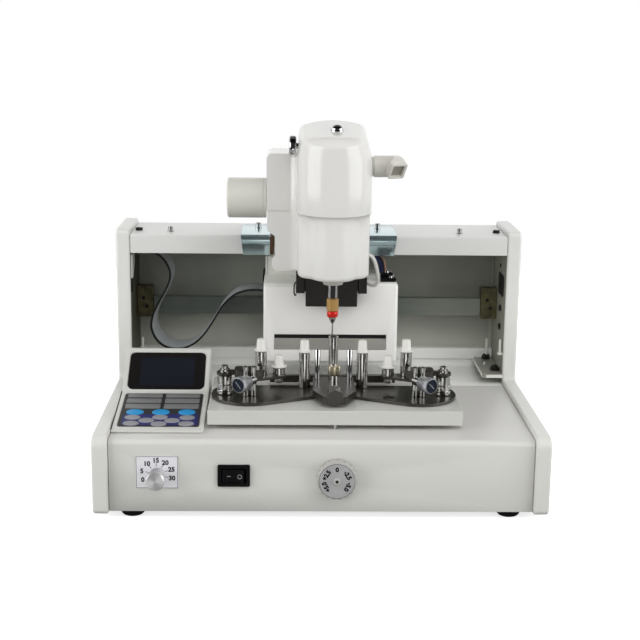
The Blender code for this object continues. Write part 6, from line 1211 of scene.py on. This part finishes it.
piece("lamp_lens", [slab(block(0.0096, 0.0096, 0.0004), 0.0002, 0.0010, mouth_base)], lens_glass,
      "lamp_arm")

# Head cable. A white lead leaves the right flank in a short loop and goes back to the guide.

cable_route = np.array([
    (0.0248, 0.0980, 0.1612), (0.0282, 0.0981, 0.1592), (0.0306, 0.0986, 0.1540),
    (0.0322, 0.0996, 0.1472), (0.0326, 0.1012, 0.1418), (0.0312, 0.1040, 0.1382),
    (0.0288, 0.1080, 0.1370), (0.0258, 0.1100, 0.1384)]) + (HEAD_X, FRONT, 0)
piece("head_lead", [pipe(cable_route, 0.0013, 20, 10)],
      sheathed("cable_white", "white_cable", (222, 221, 215)),
      ("head", "carriage", (0.04, 0, 0.156), (0.036, 0, 0.140)), stands_for="head_cable", crease=50)

# ---------------------------------------------------------------------------------------------
# Spindle. Below the motor's pale nose turn a chrome shaft, a brass collet nut with six flats, and
# the drill bit with a red depth ring over a steel cone.

nose_metal = grained("nose_metal", "steel", (206, 204, 198), (0.26, 0.12), (300.0,), 0.6)
mill("spindle_motor", nose_metal)
brass = grained("brass", "brass", (222, 182, 116), (0.22, 0.2), (420.0, 3.0, (1.0, 1.0, 0.2)), 0.6,
                (190, 146, 82))
red_ring = grained("red_ring", "red_anodised", (206, 34, 22), (0.24, 0.14), (300.0,), 0.2)
AXIS = (HEAD_X, HEAD_Y, 0)
collar_profile = [(0.0068, 0.1500), (0.0070, 0.1440), (0.0067, 0.1434), (0.0036, 0.1433)]
piece("pale_collar", [turned(collar_profile, AXIS, UP)], nose_metal, "head", crease=50)
shaft_profile = [(0.0030, 0.1334), (0.00325, 0.1337), (0.00325, 0.155)]
piece("chrome_shaft", [turned(shaft_profile, AXIS, UP)], chrome, "spindle",
      stands_for="spindle_shaft")
collet = [slab(disc(0.0042, (HEAD_X, HEAD_Y), 6), 0.1247, 0.1331),
          turned([(0.0034, 0.1244), (0.0036, 0.1250), (0.0034, 0.1256)], AXIS, UP, 40)]
piece("brass_collet", collet, brass, "spindle", bevel=0.0004, stands_for="collet_nut")
ring_profile = [(0.0032, 0.1200), (0.0039, 0.1206), (0.0039, 0.1236), (0.0035, 0.1243),
                (0.0010, 0.1244)]
piece("depth_ring", [turned(ring_profile, AXIS, UP)], red_ring, "spindle", stands_for="drill_bit",
      crease=50)
bit_profile = [(0.00008, 0.1070), (0.00055, 0.1075), (0.00055, 0.1154), (0.0012, 0.1158),
               (0.0030, 0.1199), (0.0030, 0.1202)]
piece("bit_cone", [turned(bit_profile, AXIS, UP, 32)], bright_steel, "spindle")

# ---------------------------------------------------------------------------------------------
# Table. A painted plate slides to and fro over the deck on a steel shoe, driven by the dial
# through a short pin at its front edge.

TABLE_X = 0.009
# The table's white is painted darker than the rest of the paint: painted shade.
shaded_table_paint = painted("shaded_table_paint", (206, 206, 201))
table_outline = block(0.1706, 0.0855, 0.0006, (TABLE_X, deep(0.06925)))
piece("table_top", [slab(table_outline, 0.0577, 0.0677)], shaded_table_paint, "table", bevel=0.0010,
      stands_for="table_plate")
piece("table_shoe", [slab(block(0.040, 0.040, centre=(TABLE_X, deep(0.070))), 0.0548, 0.0590),
                     turned([(0.001, 0.0548), (0.001, 0.0590)], (TABLE_X, deep(0.029), 0), UP, 20)],
      bright_steel, "table", bevel=0.0002)

# Wings and centre block. Blackened steel plates: each wing is a round lobe that narrows to the
# block, the right one with a round hole. The block has a front boss and a bar behind.

wing_low, wing_high = 0.0678, 0.0700
FIXTURE_FLOOR, block_top = 0.0703, 0.0755
gunmetal = grained("gunmetal", "black_metal", (96, 94, 88), (0.24, 0.12), (500.0, 2.0), 0.85,
                   (76, 74, 70), (90.0, 3.0, (0.3, 1.0, 1.0)), (0.000004, 1.0, 1200.0, 3.0))


def wing_outline(side):
    """Lobe circle joined to the block's neck by its tangent in front and a round corner behind."""
    lobe, neck = np.array((0.0585, deep(0.062))), np.array((0.0136, deep(0.0545)))
    back, lobe_reach, corner_reach = deep(0.0818), 0.026, 0.016
    arm = neck - lobe
    start = np.arctan2(arm[1], arm[0]) + np.arccos(lobe_reach / np.linalg.norm(arm))
    end = np.arcsin((back - corner_reach - lobe[1]) / lobe_reach)
    turn = np.linspace(start, start + (end - start) % (2 * np.pi), 64)
    arc = lobe + lobe_reach * np.stack([np.cos(turn), np.sin(turn)], -1)
    corner = np.array((arc[-1, 0] - corner_reach, back - corner_reach))
    quarter = np.linspace(0, np.pi / 2, 17)[1:]
    rear = corner + corner_reach * np.stack([np.cos(quarter), np.sin(quarter)], -1)
    points = np.concatenate([[(neck[0], back), neck], arc, rear])
    return points * (side, 1) + (TABLE_X, 0)


def seen_from(outline, centre, count=240):
    """The outline's points at evenly spaced directions round a centre, and those directions."""
    dense = np.linspace(0, len(outline), 40 * len(outline), endpoint=False)
    index = dense.astype(int)
    share = (dense - index)[:, None]
    line = outline[index] * (1 - share) + outline[(index + 1) % len(outline)] * share - centre
    angle = np.arctan2(line[:, 1], line[:, 0])
    order = np.argsort(angle)
    turn = np.linspace(-np.pi, np.pi, count, endpoint=False)
    reach = np.interp(turn, angle[order], np.linalg.norm(line, axis=1)[order], period=2 * np.pi)
    rim = np.stack([np.cos(turn), np.sin(turn)], -1)
    return centre + rim * reach[:, None], rim


piece("left_wing", [slab(wing_outline(-1), wing_low, wing_high)], gunmetal, "table", bevel=0.0003,
      stands_for="left_wing_plate")
hole_centre = np.array((TABLE_X + 0.0375, deep(0.0517)))
wing_rim, hole_rim = seen_from(wing_outline(1), hole_centre)
right_wing = hoop(wing_rim, hole_centre + hole_rim * 0.004, wing_low, wing_high, PLAN)
piece("right_wing", [right_wing], gunmetal, "table", bevel=0.0003, stands_for="right_wing_plate")
block_corners = np.array([(-0.0075, 0.033), (0.0075, 0.033), (0.0149, 0.050), (0.0140, 0.0845),
                          (-0.0140, 0.0845), (-0.0149, 0.050)]) + (TABLE_X, FRONT)
block_shapes = [slab(filleted(block_corners, 0.0008, 3), FIXTURE_FLOOR, block_top),
                slab(disc(0.0056, (TABLE_X, 0.0748), 8), -0.014, 0.0, facing(0.032)),
                slab(block(0.016, 0.0100, centre=(TABLE_X, deep(0.0875))), 0.0708, 0.0750),
                slab(block(0.089, 0.005, 0.0004, (TABLE_X, deep(0.0905)), 3), FIXTURE_FLOOR,
                     block_top)]
piece("fixture_block", block_shapes, gunmetal, "table", bevel=0.0004, stands_for="centre_block",
      crease=30)
rod_profile = [(0.00205, 0.0750), (0.00205, 0.0972), (0.0018, 0.0979), (0.0010, 0.0982),
               (0.0002, 0.0982)]
side_rods = [turned(rod_profile, (TABLE_X + side * 0.0112, deep(0.075), 0), UP, 28)
             for side in (-1, 1)]
piece("side_rods", side_rods, chrome, "table")
pin_steel = grained("pin_steel", "chrome", (212, 211, 208), (0.10, 0.04),
                    (500.0, 2.0, (1.0, 1.0, 0.1)), 1.0, (194, 193, 190))
post_profile = [(0.0035, 0.0758), (0.0035, 0.1058), (0.0032, 0.1062), (0.0024, 0.1062),
                (0.0024, 0.0945)]
piece("hollow_post", [turned(post_profile, (TABLE_X, deep(0.080), 0), UP, 56)], pin_steel, "table",
      stands_for="centre_post")
knurled = Finish("knurled_brass", "brass", (196, 188, 166), 0.26, 1.0)
knurl_wave = knurled.coordinate("Z").wave(1250.0)
knurl_tone = knurled.mixed(knurl_wave * 0.3 + 0.4, (198, 190, 166), (112, 102, 78))
knurled.feed("Base Color", knurled.mixed(knurled.coordinate("Z") < 0.0850, knurl_tone,
                                         (206, 205, 202)))
knurled.feed("Roughness", 0.14 + knurled.noise(300.0) * 0.12)
knurled.bumped(knurl_wave * 0.5 + 0.5, 0.00006, 0.6)
screw_profile = [(0.0026, 0.0758), (0.0026, 0.0849), (0.0034, 0.0850), (0.0037, 0.0855),
                 (0.0037, 0.0912), (0.0034, 0.0917), (0.0022, 0.0918), (0.0002, 0.0918)]
screw_swell = [0.0, 0.0, 0.0, 0.00012, 0.00012, 0.0, 0.0, 0.0]
thumb_screw = turned(screw_profile, (TABLE_X, deep(0.0545), 0), UP, 240, 40, screw_swell)
piece("knurled_screw", [thumb_screw], knurled, "thumb_screw", stands_for="thumb_screw")

# ---------------------------------------------------------------------------------------------
# Lens posts. Ground steel pins with tapered white plastic caps that a lens rests on: two inner
# ones on the wings, and two outer and two short ones on the swing arms.

cap_white = grained("cap_white", "white_plastic", (226, 225, 220), (0.3, 0.15), (260.0, 2.0), 0.0,
                    (212, 211, 205), (180.0, 2.0), (0.00001, 1.0, 1400.0, 2.0))


def cap(centre, shoulder, flange):
    """Tapered cap: a flange, a cone that narrows upwards, and a rounded tip."""
    low = shoulder + 0.0003
    top = shoulder + 0.0087
    profile = [(flange - 0.0007, low), (flange - 0.0003, low + 0.0001),
               (flange - 0.0003, low + 0.0007), (flange - 0.0005, low + 0.0009),
               (0.0036, low + 0.0010), (0.0034, low + 0.0014), (0.0029, top - 0.0008),
               (0.0026, top - 0.0002), (0.0020, top), (0.0003, top)]
    return turned(profile, (*centre, 0), UP, 40)


def pin(centre, radius, low, high, steps=40):
    """Ground pin with a small chamfer at its top."""
    return turned([(radius, low), (radius, high - 0.0003), (radius - 0.0003, high)],
                  (*centre, 0), UP, steps)


for hand, side in HANDS:
    arm_body = hand + "_arm"
    for name, across, depth, radius, low, high, flange, body in (
            ("inner", 0.0202, 0.0768, 0.0040, FIXTURE_FLOOR, 0.0955, 0.0053, "table"),
            ("outer", 0.0504, 0.0715, 0.0040, 0.0808, 0.0975, 0.0053, arm_body),
            ("short", 0.0380, 0.0720, 0.0044, 0.0795, 0.0858, 0.0057, arm_body)):
        post = "%s_%s_" % (hand, name)
        centre = (TABLE_X + side * across, deep(depth))
        piece(post + "pin", [pin(centre, radius, low, high)], pin_steel, body,
              stands_for=None if name == "short" else post + "post")
        piece(post + "cap", [cap(centre, high, flange)], cap_white, body)
    piece(hand + "_short_nut", [slab(disc(0.0030, centre, 6), 0.0749, 0.0795)], bright_steel,
          arm_body, bevel=0.0003)

# Swing arms. Blackened plates that pivot beside the micrometers and carry the outer posts. Each
# outline is the hull of three discs: for each direction, the disc that reaches furthest.

turn = np.linspace(0, 2 * np.pi, 160, endpoint=False)
rim = np.stack([np.cos(turn), np.sin(turn)], -1)
for hand, side in HANDS:
    centres = np.array([(0.059, 0.063), (0.0504, 0.0715), (0.038, 0.072)]) * (side, 1)
    centres += (TABLE_X, FRONT)
    furthest = (rim @ centres.T).argmax(1)
    piece(hand + "_arm_plate", [slab(centres[furthest] + rim * 0.005, 0.0785, 0.0805)], gunmetal,
          hand + "_arm", bevel=0.0003, stands_for=hand + "_swing_arm")

# Clamp blocks. On each wing a steel bracket with two pins, a blackened lever on a pivot pin, and
# a screw with a stack of round thumb nuts. The micrometer's barrel is fixed in the bracket.

stack = [(0.0044, 0.0)]
for low, high, reach in ((0.0, 0.0026, 0.0055), (0.0031, 0.0066, 0.0050), (0.0071, 0.0132, 0.0050)):
    stack += [(0.0044, low + 0.0001), (reach - 0.0003, low + 0.0001), (reach, low + 0.0004),
              (reach, high - 0.0004), (reach - 0.0003, high), (0.0044, high)]
stack += [(0.0044, 0.0150), (0.0034, 0.0152), (0.0034, 0.0172), (0.0024, 0.0174),
          (0.0024, 0.0195), (0.0021, 0.0198), (0.0003, 0.0198)]
nut_disc = [(0.0040, 0.0133), (0.0053, 0.0134), (0.0056, 0.0138), (0.0056, 0.0152),
            (0.0053, 0.0155), (0.0040, 0.0156)]
for hand, side in HANDS:
    def on_side(across, depth):
        return (TABLE_X + side * across, deep(depth))

    bracket = slab(block(0.008, 0.003, 0.0003, on_side(0.058, 0.056), 3), FIXTURE_FLOOR, 0.086)
    lever = slab(block(0.0201, 0.0113, 0.0028, on_side(0.05825, 0.05985)), 0.0826, 0.0882)
    link = slab(block(0.0072, 0.005, 0.0004, on_side(0.0717, 0.060), 3), 0.0838, 0.0866)
    piece(hand + "_lever", [lever, link], gunmetal, "table", bevel=0.0005,
          stands_for=hand + "_clamp_block")
    piece(hand + "_bracket_plate", [bracket], bright_steel, "table", bevel=0.0003)
    uprights = [pin(on_side(across, depth), radius, FIXTURE_FLOOR, high, steps)
                for across, depth, radius, high, steps in (
                    (0.0552, 0.0545, 0.0019, 0.0908, 28), (0.06056, 0.0545, 0.0019, 0.0908, 28),
                    (0.059, 0.063, 0.0020, 0.0875, 28), (0.059, 0.063, 0.0040, 0.0782, 32))]
    piece(hand + "_clamp_pins", uprights, pin_steel, "table")
    place = (*on_side(0.0751, 0.060), FIXTURE_FLOOR)
    piece(hand + "_nut_disc", [turned(nut_disc, place, UP, 56)], gunmetal, "table")
    piece(hand + "_nut_stack", [turned(stack, place, UP)], pin_steel, "table")

# Micrometers. A knurled steel thimble with a ratchet cap turns on the barrel. Its end is a dark
# blued disc with a ring and a screwdriver slot.

blued_steel = grained("blued_steel", "black_metal", (20, 30, 46), (0.2, 0.15), (300.0,), 0.6)
sleeve_steel = grained("sleeve_steel", "steel", (158, 160, 163), (0.24, 0.16), (500.0, 2.0), 0.7,
                       relief=(0.00001, 1.0, 1500.0, 2.0))
thimble_profile = [(0.0034, 0.0130), (0.0034, 0.0051), (0.0046, 0.0050), (0.0049, 0.0058),
                   (0.0053, 0.0112), (0.0054, 0.0118), (0.0056, 0.0120), (0.0056, 0.0152),
                   (0.0053, 0.0158), (0.0049, 0.0160), (0.0047, 0.0158), (0.0046, 0.0150)]
thimble_swell = [0.0, 0.0, 0.0, 0.0, 0.0, 0.0, 0.00007, 0.00007, 0.0, 0.0, 0.0, 0.0]
slot_lean = np.cos(np.radians(45)) * np.array(((1, -1), (1, 1)))
for hand, side in HANDS:
    thimble = hand + "_thimble"
    out = Vector((side * np.sin(np.radians(35)), -np.cos(np.radians(35)), 0))
    seat = Vector((TABLE_X + side * 0.0655, deep(0.040), 0.0812)) - out * 0.016
    piece(hand + "_barrel", [turned([(0.0030, -0.002), (0.0030, 0.0116)], seat, out, 32)],
          bright_steel, "table")
    piece(thimble + "_sleeve", [turned(thimble_profile, seat, out, 288, 48, thimble_swell)],
          sleeve_steel, thimble, stands_for=thimble)
    end_base = (seat + out * 0.0156, Vector(UP).cross(out).normalized(), UP)
    blued = [slab(disc(0.00455), -0.0008, 0.0000, end_base),
             hoop(disc(0.0040), disc(0.0034), -0.0002, 0.0003, end_base)]
    piece(thimble + "_end", blued, blued_steel, thimble)
    piece(thimble + "_slot", [slab(block(0.0060, 0.0005) @ slot_lean, -0.0002, 0.0001, end_base)],
          sleeve_steel, thimble)
